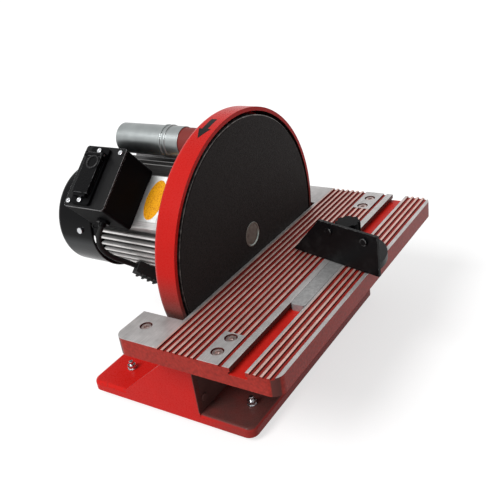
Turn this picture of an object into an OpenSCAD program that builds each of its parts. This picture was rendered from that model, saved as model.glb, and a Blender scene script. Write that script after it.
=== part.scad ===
// Benchtop disc sander with a tilting ribbed table, a mitre gauge and a direct drive motor.
// Millimetres, +Z up. The abrasive face looks along -Y and the motor lies along +Y.

/* [Disc] */
// Diameter of the abrasive disc
disc_d = 305; // [280:1:320]
// Thickness of the metal disc plate
disc_t = 14; // [11:0.5:15]
// Thickness of the abrasive sheet
abrasive_t = 1.2; // [0.8:0.1:2]
// Bare rim of the disc plate around the abrasive sheet
disc_rim = 1.4; // [0.5:0.1:3]
// Diameter of the centre cap screw
cap_d = 33; // [30:0.5:36]
// Abrasive face forward of the origin
face_forward = 53.8; // [30:0.1:80]

/* [Disc housing] */
// Radial gap between the disc and the housing wall
housing_gap = 4.5; // [3:0.5:8]
// Thickness of the housing wall
housing_wall = 5; // [4:0.5:7]
// Depth of the housing, front to back
housing_depth = 32; // [31:0.5:38]
// Thickness of the housing back
housing_back_t = 7; // [6:0.5:8]
// Abrasive face forward of the housing rim
disc_proud = 1; // [0.5:0.1:2]
// Outside diameter of the dust stub
stub_d = 37.6; // [30:0.1:39]
// Length of the dust stub behind the housing
stub_l = 69; // [60:1:90]
// Inset of the dust stub from the housing rim
stub_inset = 42; // [38:1:46]
// Outside diameter of the dust tube
tube_d = 40; // [39.2:0.1:44]
// Length of the dust tube
tube_l = 102; // [90:1:140]

/* [Base] */
// Room between the disc housing and the side walls
side_room = 5; // [3:0.5:15]
// Depth of the base plate
base_d = 255; // [250:1:300]
// Thickness of the base plate
base_t = 14; // [10:0.5:18]
// Thickness of the side walls
wall_t = 8; // [6:0.5:8]
// Height of the rubber feet
foot_h = 8; // [6:0.5:12]
// Diameter of the rubber feet
foot_d = 30; // [24:1:36]
// Inset of the feet from the ends of the base plate
foot_inset = 41.5; // [30:0.5:50]
// Spacing of the feet from front to back
foot_span_y = 192; // [170:1:205]

/* [Table] */
// Overhang of the table past the base plate
table_overhang = 46; // [43:1:60]
// Table in front of the disc
table_reach = 157; // [155:1:180]
// Length of the ears beside the housing
ear_l = 58; // [54:1:64]
// Depth of the table edge
table_t = 23; // [20:0.5:28]
// Thickness of the table top
table_plate_t = 10; // [9:0.5:11]
// Table top below the disc centre
table_drop = 28.5; // [25:0.5:32]
// Gap between the table and the abrasive face
table_gap = 2; // [1.5:0.1:3]
// Width of the mitre slot
slot_w = 19.2; // [16:0.1:22]
// Depth of the mitre slot
slot_depth = 9; // [7:0.5:10]
// Spacing of the table grooves
groove_pitch = 8; // [7:0.1:8.2]
// Width of the table grooves
groove_w = 4.5; // [3:0.1:4.8]
// Depth of the table grooves
groove_depth = 2.2; // [1.5:0.1:3.5]

/* [Mitre gauge] */
// Length of the mitre bar
bar_l = 182; // [150:1:190]
// Length of the fence along its lower edge
fence_l = 137; // [120:1:145]
// Height of the fence
fence_h = 52.5; // [45:0.5:60]
// Thickness of the fence
fence_t = 4; // [3:0.5:5]
// Radius of the protractor head
head_r = 59; // [50:1:62]
// Thickness of the protractor head
head_t = 8; // [6:0.5:10]
// Diameter of the clamp knob
knob_d = 32; // [26:1:34]

/* [Motor] */
// Diameter of the fan cover
cover_d = 144; // [142:1:150]
// Length of the fan cover
cover_l = 67; // [62:1:80]
// Length of the finned stator housing
stator_l = 161; // [158:1:180]
// Diameter of the stator core
core_d = 112; // [108:1:114]
// Wall of the stator housing under the fins
stator_wall = 4; // [3:0.5:5]
// Height of the cooling fins
fin_h = 9.5; // [9:0.5:10]
// Thickness of the cooling fins
fin_t = 2.6; // [2:0.1:3]
// Number of the cooling fins
fin_count = 44; // [40:4:48]
// Shaft diameter at the front bearing
shaft_d = 25; // [22:1:25]

/* [Switch] */
// Lean of the switch box from upright
switch_angle = 40.4; // [36:0.1:45]
// Length of the switch box around the motor
box_l = 87; // [84:1:94]
// Width of the switch box along the motor
box_w = 68; // [64:1:72]
// Depth of the switch box
box_depth = 57; // [50:1:62]
// Wall of the switch box
box_wall = 3; // [2:0.5:4]
// Diameter of the motor lead
lead_d = 7; // [5:0.5:8]

/* [Hidden] */
$fn = 72;
// Shared fits and overruns
over = 1;
fit = 0.3;
slip = 0.05;
slide_fit = 0.15;
// Paint and material colours
red_paint = [0.72, 0.13, 0.11];
black_paint = [0.05, 0.05, 0.055];
rubber_black = [0.03, 0.03, 0.03];
steel = [0.72, 0.73, 0.75];
bright_alloy = [0.8, 0.81, 0.82];
abrasive_black = [0.1, 0.09, 0.09];
copper = [0.72, 0.4, 0.2];
lamination = [0.4, 0.41, 0.43];
green = [0.1, 0.5, 0.2];
stop_red = [0.8, 0.1, 0.08];

// Heights and main planes
face_y = -face_forward;
base_top = foot_h + base_t;
housing_r = disc_d / 2 + housing_gap + housing_wall;
housing_sink = 4;
stub_rise = housing_r - stub_inset;
base_w = 2 * (housing_r + side_room + wall_t);
foot_span_x = base_w - 2 * foot_inset;
table_l = base_w + 2 * table_overhang;
axis_z = base_top + housing_r - housing_sink;
housing_front_y = face_y + disc_proud;
housing_back_y = housing_front_y + housing_depth;
housing_corner_r = 8;
plate_back_y = face_y + abrasive_t + disc_t;
table_top = axis_z - table_drop;
table_under = table_top - table_plate_t;

// Dust tube
tube_bead = 1.2;
tube_bead_w = 3;
tube_bead_places = [0, 7];
tube_lap = 20;
tube_y = housing_back_y + stub_l - tube_lap;

// Base casting
base_corner_r = 12;
base_lead = 81.5;
base_y = face_y - base_lead + base_d / 2;
wall_lead = 6.3;
wall_front_y = face_y - wall_lead;
wall_run = 44;
wall_rear_y = wall_front_y + wall_run;
wall_slant_rise = 64;
wall_slant_run = 76;
wall_bevel = 15;
wall_top_gap = 3.5;
web_t = 10;
web_gap = 14;
foot_shift_y = -6;
stud_d = 6;
stud_clear = 0.2;
stud_stand = 12;
nut_af = 10;
nut_h = 5;
washer_d = 12.5;
washer_t = 1.6;
foot_grip = 5;
foot_taper = 2;
foot_y = base_y + foot_shift_y;

// Housing bolts and the lower guard
housing_bolt_x = 60;
housing_bolt_low = 28;
housing_bolt_step = 32;
m8_d = 8;
m8_head_d = 13;
m8_head_h = 5;
guard_t = 2.5;
guard_top_gap = 6;
lug_w = 10;
lug_t = 9.5;
lug_h = 12;
lug_low = 18;
lug_step = 38;
m5_d = 5;
m5_head_d = 9.5;
m5_head_h = 3;
guard_h = lug_low + lug_step + lug_h + guard_top_gap;
screw_l = 9;

// Tilt pivot, trunnions and guide pins
pivot_y = face_y;
pivot_z = table_top;
pin_r = 36;
pin_angles = [95, 135];
tilt_max = 45;
trunnion_r = 46;
trunnion_t = 8;
trunnion_gap = 1;
trunnion_strip = 12;
pad_t = 6;
pin_d = 8;
pin_head_d = 13;
pin_head_h = 5;
slot_end_angle = 7;
trunnion_x = base_w / 2 + trunnion_gap;
wall_top = table_under - pad_t - wall_top_gap;

// Table casting
notch_y = face_y - table_gap;
table_front_y = notch_y - table_reach;
ear_back_y = notch_y + ear_l;
notch_clear = 3.5;
notch_half = housing_r + notch_clear;
table_corner_r = 14;
skirt_w = 8;
notch_land = 1;
notch_chamfer_share = 1.1;
first_groove = 8;
groove_count = 11;
slot_centre = 109;
slot_y = notch_y - slot_centre;
front_groove = 16.5;
front_groove_count = 4;
slot_rim = 8;
slot_floor = 6;
slot_step = 2;
slot_step_h = 3.2;
slot_under = table_top - slot_depth - slot_floor;
rib_w = 6;
rib_h = 8;
rib_places_shares = [-0.25, 0, 0.25];
rib_back = 24;
// Flat pads that carry the table screws
end_pad_first = 60;
end_pad_l = 28;
end_pad_w = 55;
pad_screw_place = 72;
pad_screw_inset = 20;
pad_screw_step = 26.5;
ear_screw_inset = 31.5;
ear_screw_place = 35;
table_screw_d = 8;
table_head_d = 12;
table_head_h = 3;
table_sink_d = 15;
table_sink = 1.2;
front_pad_w = 45;
front_pad_l = 28;
rear_pad_w = 27;
rear_pad_l = 28;
pad_edge = 10;

// Tilt lock knob
lock_knob_d = 28;
lock_knob_h = 14;
lock_washer_t = 2;
grip_count = 8;
grip_share = 0.28;

// Mitre gauge
mitre_x = 21;
mitre_angle = -14.4;
bar_clear = 0.2;
bar_h = slot_depth - bar_clear;
bar_w = slot_w - 2 * slide_fit;
bar_top = table_top - slot_depth + bar_clear / 2 + bar_h;
bar_front = 92;
bar_nose_r = 4;
head_clear = 0.4;
fence_lead = 8;
fence_rear = 67.4;
fence_bevel = 47.8;
fence_lift = 1;
fence_screw_up = 43;
fence_screw_places = [-51, 3];
head_web_t = 3;
head_web_h = 48;
head_web_front = 61;
head_web_rear = 8;
arc_slot_r = 29;
arc_slot_w = 7;
arc_slot_half = 66;
pivot_d = 8;
pivot_head_d = 9;
pivot_head_h = 4;
knob_stud_d = 6;
knob_h = 22;
knob_neck_h = 8;
knob_neck_d = 16;

// Motor, front to back
flange_y = housing_back_y;
flange_t = 12;
flange_d = 140;
web_h = axis_z - base_top - flange_d / 2 - web_gap;
pilot_d = 90;
pilot_t = 5;
stator_y = flange_y + flange_t;
stator_end_y = stator_y + stator_l;
core_r = core_d / 2;
stator_r = core_r + stator_wall;
fin_r = stator_r + fin_h;
// Taller fins on the far shoulder, level at their tips
shoulder_first = 60;
shoulder_rise = 84;
core_l = 90;
core_y = stator_y + stator_l / 2 - core_l / 2;
winding_l = 17;
winding_in_r = 35;
winding_out_r = 51;
air_gap = 0.6;
core_bore_r = 32;
rotor_r = core_bore_r - air_gap;
bearing_w = 15;
bearing_d = 52;
bearing_wall = 7;
bearing_inset = 4;
bearing_y = stator_y + bearing_inset;
rear_bearing_w = 14;
rear_bearing_d = 47;
rear_shaft_d = 20;
shield_t = 9;
shield_d = 138;
shield_y = stator_end_y;
rear_bearing_inset = 8;
rear_bearing_y = shield_y - rear_bearing_inset;
cover_gap = 11;
cover_y = shield_y + cover_gap;
cover_wall = 1.8;
cover_corner_r = 9;
cover_end_y = cover_y + cover_l;
cover_lug_w = 12;
cover_lug_place = 20;
cover_lug_tail = 8;
cover_screw_angle = 174.3;
cover_screw_d = 9;
cover_screw_h = 3.5;
cover_screw_shank = 5;
grille_count = 14;
grille_w = 6;
grille_in = 16;
grille_out = 52;
rod_d = 5;
rod_clear = 0.3;
rod_head_d = 8;
rod_head_h = 4;
rod_r = stator_r + fin_h / 2;
rod_angles = [45, 135, 225, 315];
fan_gap = 8;
fan_y = shield_y + shield_t + fan_gap;
fan_w = 24;
fan_d = 112;
fan_hub_d = 34;
fan_plate_t = 3;
fan_blades = 8;
fan_blade_t = 2.5;
fan_seat_d = 18;
flange_bolt_pcd = 120;
flange_bolt_count = 4;
// Shaft, hub and key
shaft_front_d = 24;
hub_d = 60;
hub_gap = 3;
hub_end_y = housing_back_y - housing_back_t - hub_gap;
shaft_body_d = 30;
collar_d = 31;
key_w = 6;
key_l = 16;
key_depth = 3.5;
cap_head_t = 6;
shaft_start_y = face_y + cap_head_t;
cap_shank_d = 10;
cap_shank_l = 18;
cap_sink = 0.4;
cap_clear = 0.5;

// Flat pad on the stator for the switch box and the rating plate
pad_stand = 68;
motor_pad_w = 76;
pad_root = sqrt(stator_r ^ 2 - (motor_pad_w / 2) ^ 2) - over;
pad_half_angle = asin(motor_pad_w / 2 / stator_r) - 4;
box_y = stator_end_y - box_w;
box_corner_r = 4;
cover_plate_t = 2.5;
cover_plate_z = pad_stand + box_depth;
plate_face_z = cover_plate_z + cover_plate_t;
plate_screw_inset = 7;
label_w = 34;
label_l = 65;
label_t = 0.6;
label_lift = 4;
label_gap = 1.5;
// Switch block with its hinged stop flap
switch_shift = 5;
switch_y = box_y + box_w / 2 + switch_shift;
m4_d = 4;
m4_head_d = 6.5;
m4_head_h = 2.4;
bezel_room = 3.25;
bezel_l = 80;
bezel_w = box_w - 2 * (plate_screw_inset + switch_shift + bezel_room) - m4_head_d;
bezel_h = 4;
block_l = 52;
block_inset = 3.5;
block_w = bezel_w - 2 * block_inset;
block_depth = 32;
button_l = 15;
button_inset = 7;
button_w = bezel_w - 2 * button_inset;
button_rise = 3;
button_travel = 2.5;
button_gap = 11;
button_stem = 14;
button_lip = 1.5;
flap_l = 54;
flap_inset = 3;
flap_w = bezel_w - 2 * flap_inset;
flap_t = 3;
flap_gap = 0.8;
flap_lip = 4;
flap_hinge_x = 27;
hinge_r = 3.2;
hinge_pin_d = 3;
hinge_lug_w = 2.6;
latch_l = 4;
latch_inset = 5.5;
latch_w = bezel_w - 2 * latch_inset;
latch_h = 6;
bezel_screw_x = 35;
cover_screw_l = 12;
stop_x = -button_gap;
start_x = button_gap;
bezel_face_z = plate_face_z + bezel_h;
button_face_z = bezel_face_z + button_rise;
flap_under_z = button_face_z + flap_gap;
hinge_z = flap_under_z + flap_t / 2;

// Glands, the clamp block and the lead between them
gland_d = 16;
gland_l = 9;
gland_nut_h = 4;
gland_z = 22;
gland_shift = -6;
clamp_angle = 218;
clamp_turn = 55;
clamp_l = 34;
clamp_w = 20;
clamp_stand = 16;
clamp_rib_t = 2.5;
clamp_rib_count = 4;
clamp_place = 95;
clamp_y = stator_y + clamp_place;
clamp_grip = 12;
lead_over = 7;
lead_sides = 10;
lead_steps = 14;
lead_ring_angle = 360 / lead_sides;
lead_start_pull = 40;
lead_end_pull = 25;

// Lead from the box gland down around the fins, as one smooth curve about the motor axis
lead_start_way = [-cos(switch_angle), 0, -sin(switch_angle)];
lead_start = (box_l / 2 + gland_l) * lead_start_way
  + (pad_stand + gland_z) * [-sin(switch_angle), 0, cos(switch_angle)]
  + (box_y + box_w / 2 + gland_shift) * [0, 1, 0];
lead_end_way = cos(clamp_turn) * [0, 1, 0] + sin(clamp_turn) * [sin(clamp_angle), 0, -cos(clamp_angle)];
lead_end = (fin_r + lead_over) * [cos(clamp_angle), 0, sin(clamp_angle)]
  + clamp_y * [0, 1, 0] + clamp_l / 2 * lead_end_way;
lead_knots = [
  lead_start,
  lead_start + lead_start_pull * lead_start_way,
  lead_end + lead_end_pull * lead_end_way,
  lead_end
];
function lead_curve(t) = (1 - t) ^ 3 * lead_knots[0] + 3 * (1 - t) ^ 2 * t * lead_knots[1]
  + 3 * (1 - t) * t ^ 2 * lead_knots[2] + t ^ 3 * lead_knots[3];
lead_points = concat(
  [lead_start - (gland_l - gland_nut_h) * lead_start_way],
  [for (i = [0:lead_steps]) lead_curve(i / lead_steps)],
  [lead_end - clamp_grip * lead_end_way]
);
function unit(v) = v / norm(v);
function lead_way(i) = unit(lead_points[min(i + 1, len(lead_points) - 1)] - lead_points[max(i - 1, 0)]);
function square_to(v, w) = unit(v - (v * w) * w);
function lead_side(i) = i == 0 ? [0, 1, 0] : square_to(lead_side(i - 1), lead_way(i));
function lead_ring(i) =
  let (s = lead_side(i), t = cross(lead_way(i), s))
    [for (k = [0:lead_sides - 1])
      lead_points[i] + lead_d / 2 * (s * cos(k * lead_ring_angle) + t * sin(k * lead_ring_angle))];

// Turn a shape's height from Z to Y
module along_y() {
  rotate([-90, 0, 0]) children();
}

// Turn a shape's height from Z to X
module along_x() {
  rotate([0, 90, 0]) children();
}

// Place a shape whose height runs along Y, on the motor axis
module on_axis(y) {
  translate([0, y, axis_z]) along_y() children();
}

// Draw a Y-Z outline and give it a thickness along X
module side_profile(t) {
  rotate([90, 0, 90]) linear_extrude(t) children();
}

module rounded_rect(w, d, r) {
  square([w - 2 * r, d], center = true);
  square([w, d - 2 * r], center = true);
  for (x = [-1, 1], y = [-1, 1]) translate([x * (w / 2 - r), y * (d / 2 - r)]) circle(r);
}

module tube(d_out, d_in, h) {
  difference() {
    cylinder(d = d_out, h = h);
    translate([0, 0, -over]) cylinder(d = d_in, h = h + 2 * over);
  }
}

// Hexagon prism measured across its flats
module hexagon(af, h) {
  cylinder(d = af / cos(30), h = h, $fn = 6);
}

// Screw with a round head, pointing down from the seat at zero
module pan_screw(d, length, head_d, head_h) {
  translate([0, 0, -length]) cylinder(d = d, h = length);
  cylinder(d = head_d, h = head_h);
}

// Switch frame: X up the slope, Y along the motor, Z out from the motor
module at_switch() {
  translate([0, 0, axis_z]) rotate([0, -switch_angle, 0]) children();
}

// Point of the tilt circle, its angle counted from the front downwards
function tilt_point(r, a) = [pivot_y - r * cos(a), pivot_z - r * sin(a)];

module at_feet() {
  for (x = [-1, 1], y = [-1, 1])
    translate([x * foot_span_x / 2, foot_y + y * foot_span_y / 2, 0]) children();
}

module at_housing_bolts() {
  for (x = [-1, 1], i = [0, 1])
    translate([x * housing_bolt_x, 0, base_top + housing_bolt_low + i * housing_bolt_step]) children();
}

module at_guard_lugs() {
  for (x = [-1, 1], i = [0, 1])
    translate([x * (base_w / 2 - wall_t - lug_w / 2), 0, base_top + lug_low + i * lug_step]) children();
}

// Side wall of the base, with the places of its guide pins
module side_wall() {
  difference() {
    translate([base_w / 2 - wall_t, 0, 0]) side_profile(wall_t) polygon([
      [wall_front_y, base_top - over],
      [wall_front_y, wall_top - wall_bevel],
      [wall_front_y + wall_bevel, wall_top],
      [wall_rear_y, wall_top],
      [wall_rear_y, base_top + wall_slant_rise],
      [wall_rear_y + wall_slant_run, base_top],
      [wall_rear_y + wall_slant_run, base_top - over]
    ]);
    for (a = pin_angles)
      translate([base_w / 2 - wall_t - over, tilt_point(pin_r, a)[0], tilt_point(pin_r, a)[1]])
        along_x() cylinder(d = pin_d + 2 * slip, h = wall_t + 2 * over);
  }
}

module base() {
  color(red_paint) difference() {
    union() {
      translate([0, base_y, foot_h]) linear_extrude(base_t) rounded_rect(base_w, base_d, base_corner_r);
      for (m = [0, 1]) mirror([m, 0, 0]) side_wall();
      translate([-base_w / 2 + wall_t / 2, housing_back_y, base_top - over])
        cube([base_w - wall_t, web_t, web_h + over]);
      at_guard_lugs() translate([-lug_w / 2 - over, wall_front_y + guard_t, -lug_h / 2])
        cube([lug_w + 2 * over, lug_t, lug_h]);
    }
    on_axis(housing_front_y - fit) cylinder(r = housing_r + fit, h = housing_depth + fit);
    at_feet() translate([0, 0, foot_h - over]) cylinder(d = stud_d + 2 * stud_clear, h = base_t + 2 * over);
    at_housing_bolts() translate([0, housing_back_y - over, 0])
      along_y() cylinder(d = m8_d + 2 * slip, h = web_t + 2 * over);
    at_guard_lugs() translate([0, wall_front_y, 0])
      along_y() cylinder(d = m5_d + 2 * slip, h = guard_t + lug_t + over);
  }
}

module rubber_feet() {
  color(rubber_black) at_feet() difference() {
    cylinder(d1 = foot_d - foot_taper, d2 = foot_d, h = foot_h);
    translate([0, 0, foot_h - foot_grip]) cylinder(d = stud_d + 2 * slip, h = foot_grip + over);
  }
}

module foot_studs() {
  color(steel) at_feet() translate([0, 0, foot_h - foot_grip])
    cylinder(d = stud_d, h = foot_grip + base_t + stud_stand);
}

module foot_nuts() {
  color(steel) at_feet() translate([0, 0, base_top]) difference() {
    union() {
      cylinder(d = washer_d, h = washer_t);
      translate([0, 0, washer_t]) hexagon(nut_af, nut_h);
    }
    translate([0, 0, -over]) cylinder(d = stud_d + 2 * slip, h = washer_t + nut_h + 2 * over);
  }
}

// Outline of the dish from its axis outwards, the rim at zero
module dish_profile() {
  square([housing_r, housing_depth - housing_corner_r]);
  square([housing_r - housing_corner_r, housing_depth]);
  translate([housing_r - housing_corner_r, housing_depth - housing_corner_r]) circle(housing_corner_r);
}

module disc_housing() {
  color(red_paint) difference() {
    union() {
      on_axis(housing_front_y) rotate_extrude() intersection() {
        dish_profile();
        square([housing_r + over, housing_depth]);
      }
      translate([0, 0, stub_rise]) on_axis(housing_back_y - over) cylinder(d = stub_d, h = stub_l + over);
    }
    on_axis(housing_front_y - over)
      cylinder(r = housing_r - housing_wall, h = housing_depth - housing_back_t + over);
    on_axis(housing_front_y) cylinder(d = pilot_d + 2 * slip, h = housing_depth + over);
    translate([0, 0, stub_rise]) on_axis(housing_front_y)
      cylinder(d = stub_d - housing_wall, h = housing_depth + stub_l + over);
    at_housing_bolts() translate([0, housing_front_y, 0])
      along_y() cylinder(d = m8_d + 2 * slip, h = housing_depth + over);
    for (i = [0:flange_bolt_count - 1]) rotate_on_axis(45 + i * 360 / flange_bolt_count)
      translate([flange_bolt_pcd / 2, 0, 0]) on_axis(housing_front_y)
        cylinder(d = m8_d + 2 * slip, h = housing_depth + over);
  }
}

// Turn a shape around the motor axis
module rotate_on_axis(a) {
  translate([0, 0, axis_z]) rotate([0, -a, 0]) translate([0, 0, -axis_z]) children();
}

module housing_bolts() {
  color(steel) at_housing_bolts() translate([0, housing_back_y - housing_back_t, 0]) {
    along_y() cylinder(d = m8_d, h = housing_back_t + web_t);
    along_y() mirror([0, 0, 1]) cylinder(d = m8_head_d, h = m8_head_h);
  }
}

module lower_guard() {
  color(red_paint) difference() {
    translate([-base_w / 2 + wall_t + fit, wall_front_y, base_top])
      cube([base_w - 2 * wall_t - 2 * fit, guard_t, guard_h]);
    at_guard_lugs() translate([0, wall_front_y - over, 0])
      along_y() cylinder(d = m5_d + 2 * slip, h = guard_t + 2 * over);
  }
}

module lower_guard_screws() {
  color(steel) at_guard_lugs() translate([0, wall_front_y, 0]) {
    along_y() cylinder(d = m5_d, h = screw_l);
    along_y() mirror([0, 0, 1]) cylinder(d = m5_head_d, h = m5_head_h);
  }
}

module dust_tube() {
  color(steel) translate([0, 0, stub_rise]) on_axis(tube_y) difference() {
    union() {
      cylinder(d = tube_d, h = tube_l);
      for (p = tube_bead_places)
        translate([0, 0, tube_lap + p]) cylinder(d = tube_d + 2 * tube_bead, h = tube_bead_w);
    }
    translate([0, 0, -over]) cylinder(d = stub_d + 2 * slip, h = tube_l + 2 * over);
  }
}

module motor_flange() {
  color(lamination) difference() {
    union() {
      on_axis(flange_y) cylinder(d = flange_d, h = flange_t);
      on_axis(flange_y - pilot_t) cylinder(d = pilot_d, h = pilot_t + over);
      on_axis(flange_y) cylinder(d = bearing_d + 2 * bearing_wall, h = bearing_y + bearing_w - flange_y);
    }
    on_axis(bearing_y) cylinder(d = bearing_d + 2 * slip, h = bearing_w + over);
    on_axis(flange_y - pilot_t - over) cylinder(d = shaft_body_d + bearing_wall, 
      h = pilot_t + bearing_y + bearing_w - flange_y + 2 * over);
    for (i = [0:flange_bolt_count - 1]) rotate_on_axis(45 + i * 360 / flange_bolt_count)
      translate([flange_bolt_pcd / 2, 0, 0]) on_axis(flange_y - over)
        cylinder(d = m8_d + 2 * slip, h = flange_t + 2 * over);
  }
}

module flange_bolts() {
  color(steel) for (i = [0:flange_bolt_count - 1]) rotate_on_axis(45 + i * 360 / flange_bolt_count)
    translate([flange_bolt_pcd / 2, 0, 0]) {
      on_axis(housing_back_y - housing_back_t) cylinder(d = m8_d, h = housing_back_t + flange_t);
      on_axis(housing_back_y - housing_back_t - m8_head_h) cylinder(d = m8_head_d, h = m8_head_h);
    }
}

// Whether a fin at this angle stands outside the flat pad
function clear_of_pad(a) = abs(a - 90 - switch_angle) > pad_half_angle;

// Radius of a fin at this angle
function fin_tip(a) = a > shoulder_first && a < 90 + switch_angle ? shoulder_rise / sin(a) : fin_r;

// Section across the stator housing, its angles counted from +X towards -Z
module stator_plan() {
  difference() {
    union() {
      circle(stator_r);
      for (i = [0:fin_count - 1])
        let (a = i * 360 / fin_count)
          if (clear_of_pad(a)) rotate(-a)
            translate([stator_r - over, -fin_t / 2]) square([fin_tip(a) - stator_r + over, fin_t]);
      rotate(-90 - switch_angle) translate([pad_root, -motor_pad_w / 2])
        square([pad_stand - pad_root, motor_pad_w]);
    }
    circle(core_r + slip);
    for (a = rod_angles) rotate(-a) translate([rod_r, 0]) circle(d = rod_d + 2 * rod_clear);
  }
}

module stator_housing() {
  color(bright_alloy) on_axis(stator_y) linear_extrude(stator_l) stator_plan();
}

module stator_core() {
  color(lamination) on_axis(core_y) tube(core_d, 2 * core_bore_r, core_l);
}

module windings() {
  color(copper) for (y = [core_y - winding_l, core_y + core_l])
    on_axis(y) tube(2 * winding_out_r, 2 * winding_in_r, winding_l);
}

module rear_shield() {
  color(black_paint) difference() {
    union() {
      on_axis(shield_y) cylinder(d = shield_d, h = shield_t);
      on_axis(rear_bearing_y)
        cylinder(d = rear_bearing_d + 2 * bearing_wall, h = shield_y - rear_bearing_y + shield_t);
      for (a = [0, 90, 180, 270]) rotate_on_axis(cover_screw_angle + a)
        translate([shield_d / 2 - bearing_wall, shield_y, axis_z - cover_lug_w / 2])
          cube([cover_d / 2 - cover_wall - fit - shield_d / 2 + bearing_wall,
            cover_y - shield_y + cover_lug_place + cover_lug_tail, cover_lug_w]);
    }
    on_axis(rear_bearing_y - over) cylinder(d = rear_bearing_d + 2 * slip, h = rear_bearing_w + over);
    on_axis(rear_bearing_y)
      cylinder(d = rear_shaft_d + bearing_wall, h = shield_y + shield_t - rear_bearing_y + over);
    for (a = rod_angles) rotate_on_axis(a) translate([rod_r, 0, 0]) on_axis(shield_y - over)
      cylinder(d = rod_d + 2 * slip, h = shield_t + 2 * over);
    for (a = [0, 90, 180, 270]) rotate_on_axis(cover_screw_angle + a)
      translate([shield_d / 2 - bearing_wall - over, cover_y + cover_lug_place, axis_z])
        along_x() cylinder(d = cover_screw_shank + 2 * slip, h = cover_d / 2);
  }
}

module tie_rods() {
  color(steel) for (a = rod_angles) rotate_on_axis(a) translate([rod_r, 0, 0]) {
    on_axis(stator_y) cylinder(d = rod_d, h = stator_l + shield_t);
    on_axis(shield_y + shield_t) cylinder(d = rod_head_d, h = rod_head_h);
  }
}

module front_bearing() {
  color(steel) on_axis(bearing_y) tube(bearing_d, shaft_d + 2 * slip, bearing_w);
}

module rear_bearing() {
  color(steel) on_axis(rear_bearing_y) tube(rear_bearing_d, rear_shaft_d + 2 * slip, rear_bearing_w);
}

// Outline of the fan cover from its axis outwards, its mouth at zero
module cover_profile(r, l, c) {
  square([r, l - c]);
  square([r - c, l]);
  translate([r - c, l - c]) circle(c);
}

module fan_cover() {
  color(black_paint) difference() {
    on_axis(cover_y) rotate_extrude() intersection() {
      cover_profile(cover_d / 2, cover_l, cover_corner_r);
      square([cover_d, cover_l]);
    }
    on_axis(cover_y - over) rotate_extrude() intersection() {
      cover_profile(cover_d / 2 - cover_wall, cover_l - cover_wall + over, cover_corner_r - cover_wall);
      square([cover_d, cover_l]);
    }
    for (i = [0:grille_count - 1]) rotate_on_axis(i * 360 / grille_count)
      translate([grille_in, cover_end_y - cover_wall - over, axis_z - grille_w / 2])
        cube([grille_out - grille_in, cover_wall + 2 * over, grille_w]);
    for (a = [0, 90, 180, 270]) rotate_on_axis(cover_screw_angle + a)
      translate([cover_d / 2 - 2 * cover_wall, cover_y + cover_lug_place, axis_z])
        along_x() cylinder(d = cover_screw_shank + 2 * slip, h = cover_d / 2);
  }
}

module fan_cover_screws() {
  color(steel) for (a = [0, 90, 180, 270]) rotate_on_axis(cover_screw_angle + a)
    translate([cover_d / 2, cover_y + cover_lug_place, axis_z]) along_x()
      pan_screw(cover_screw_shank, bearing_wall, cover_screw_d, cover_screw_h);
}

module rating_plate() {
  color(bright_alloy) at_switch()
    translate([label_lift - label_l / 2, box_y - label_gap - label_w, pad_stand])
      cube([label_l, label_w, label_t]);
}

module motor_shaft() {
  color(steel) difference() {
    union() {
      on_axis(shaft_start_y) cylinder(d = shaft_front_d, h = bearing_y - shaft_start_y);
      on_axis(bearing_y - over) cylinder(d = shaft_d, h = bearing_w + over);
      on_axis(bearing_y + bearing_w) cylinder(d = shaft_body_d, h = rear_bearing_y - bearing_y - bearing_w);
      on_axis(rear_bearing_y - over) cylinder(d = rear_shaft_d, h = rear_bearing_w + 2 * over);
      on_axis(rear_bearing_y) cylinder(d = fan_seat_d, h = fan_y + fan_w - rear_bearing_y);
    }
    translate([shaft_front_d / 2 - key_depth, plate_back_y, axis_z - key_w / 2])
      cube([shaft_front_d, key_l, key_w]);
    on_axis(shaft_start_y - over) cylinder(d = cap_shank_d + 2 * slip, h = cap_shank_l + over);
  }
}

module shaft_key() {
  color(steel) translate([shaft_front_d / 2 - key_depth, plate_back_y, axis_z - key_w / 2])
    cube([2 * key_depth, hub_end_y - plate_back_y, key_w]);
}

module rotor_core() {
  color(lamination) on_axis(core_y) tube(2 * rotor_r, shaft_body_d, core_l);
}

module cooling_fan() {
  color(black_paint) difference() {
    union() {
      on_axis(fan_y) cylinder(d = fan_hub_d, h = fan_w);
      on_axis(fan_y) cylinder(d = fan_d, h = fan_plate_t);
      for (i = [0:fan_blades - 1]) rotate_on_axis(i * 360 / fan_blades)
        translate([fan_hub_d / 2 - over, fan_y + fan_plate_t - over, axis_z - fan_blade_t / 2])
          cube([fan_d / 2 - fan_hub_d / 2, fan_w - fan_plate_t + over, fan_blade_t]);
    }
    on_axis(fan_y - over) cylinder(d = fan_seat_d, h = fan_w + 2 * over);
  }
}

module disc_plate() {
  color(bright_alloy) difference() {
    union() {
      on_axis(face_y + abrasive_t) cylinder(d = disc_d, h = disc_t);
      on_axis(plate_back_y - over) cylinder(d = hub_d, h = hub_end_y - plate_back_y + over);
    }
    on_axis(shaft_start_y) cylinder(d = shaft_front_d, h = hub_end_y - shaft_start_y + over);
    on_axis(face_y) cylinder(d = cap_d + 2 * cap_clear, h = shaft_start_y - face_y + slip);
    translate([shaft_front_d / 2 - over, plate_back_y, axis_z - key_w / 2])
      cube([key_depth + over, hub_end_y - plate_back_y + over, key_w]);
  }
}

module abrasive_disc() {
  color(abrasive_black) on_axis(face_y) tube(disc_d - 2 * disc_rim, cap_d + 2 * cap_clear, abrasive_t);
}

module centre_cap() {
  color(steel) {
    on_axis(face_y + cap_sink) cylinder(d = cap_d, h = shaft_start_y - face_y - cap_sink);
    on_axis(shaft_start_y - over) cylinder(d = cap_shank_d, h = cap_shank_l + over);
  }
}

module box_outline(inset) {
  rounded_rect(box_l - 2 * inset, box_w - 2 * inset, box_corner_r);
}

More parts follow.
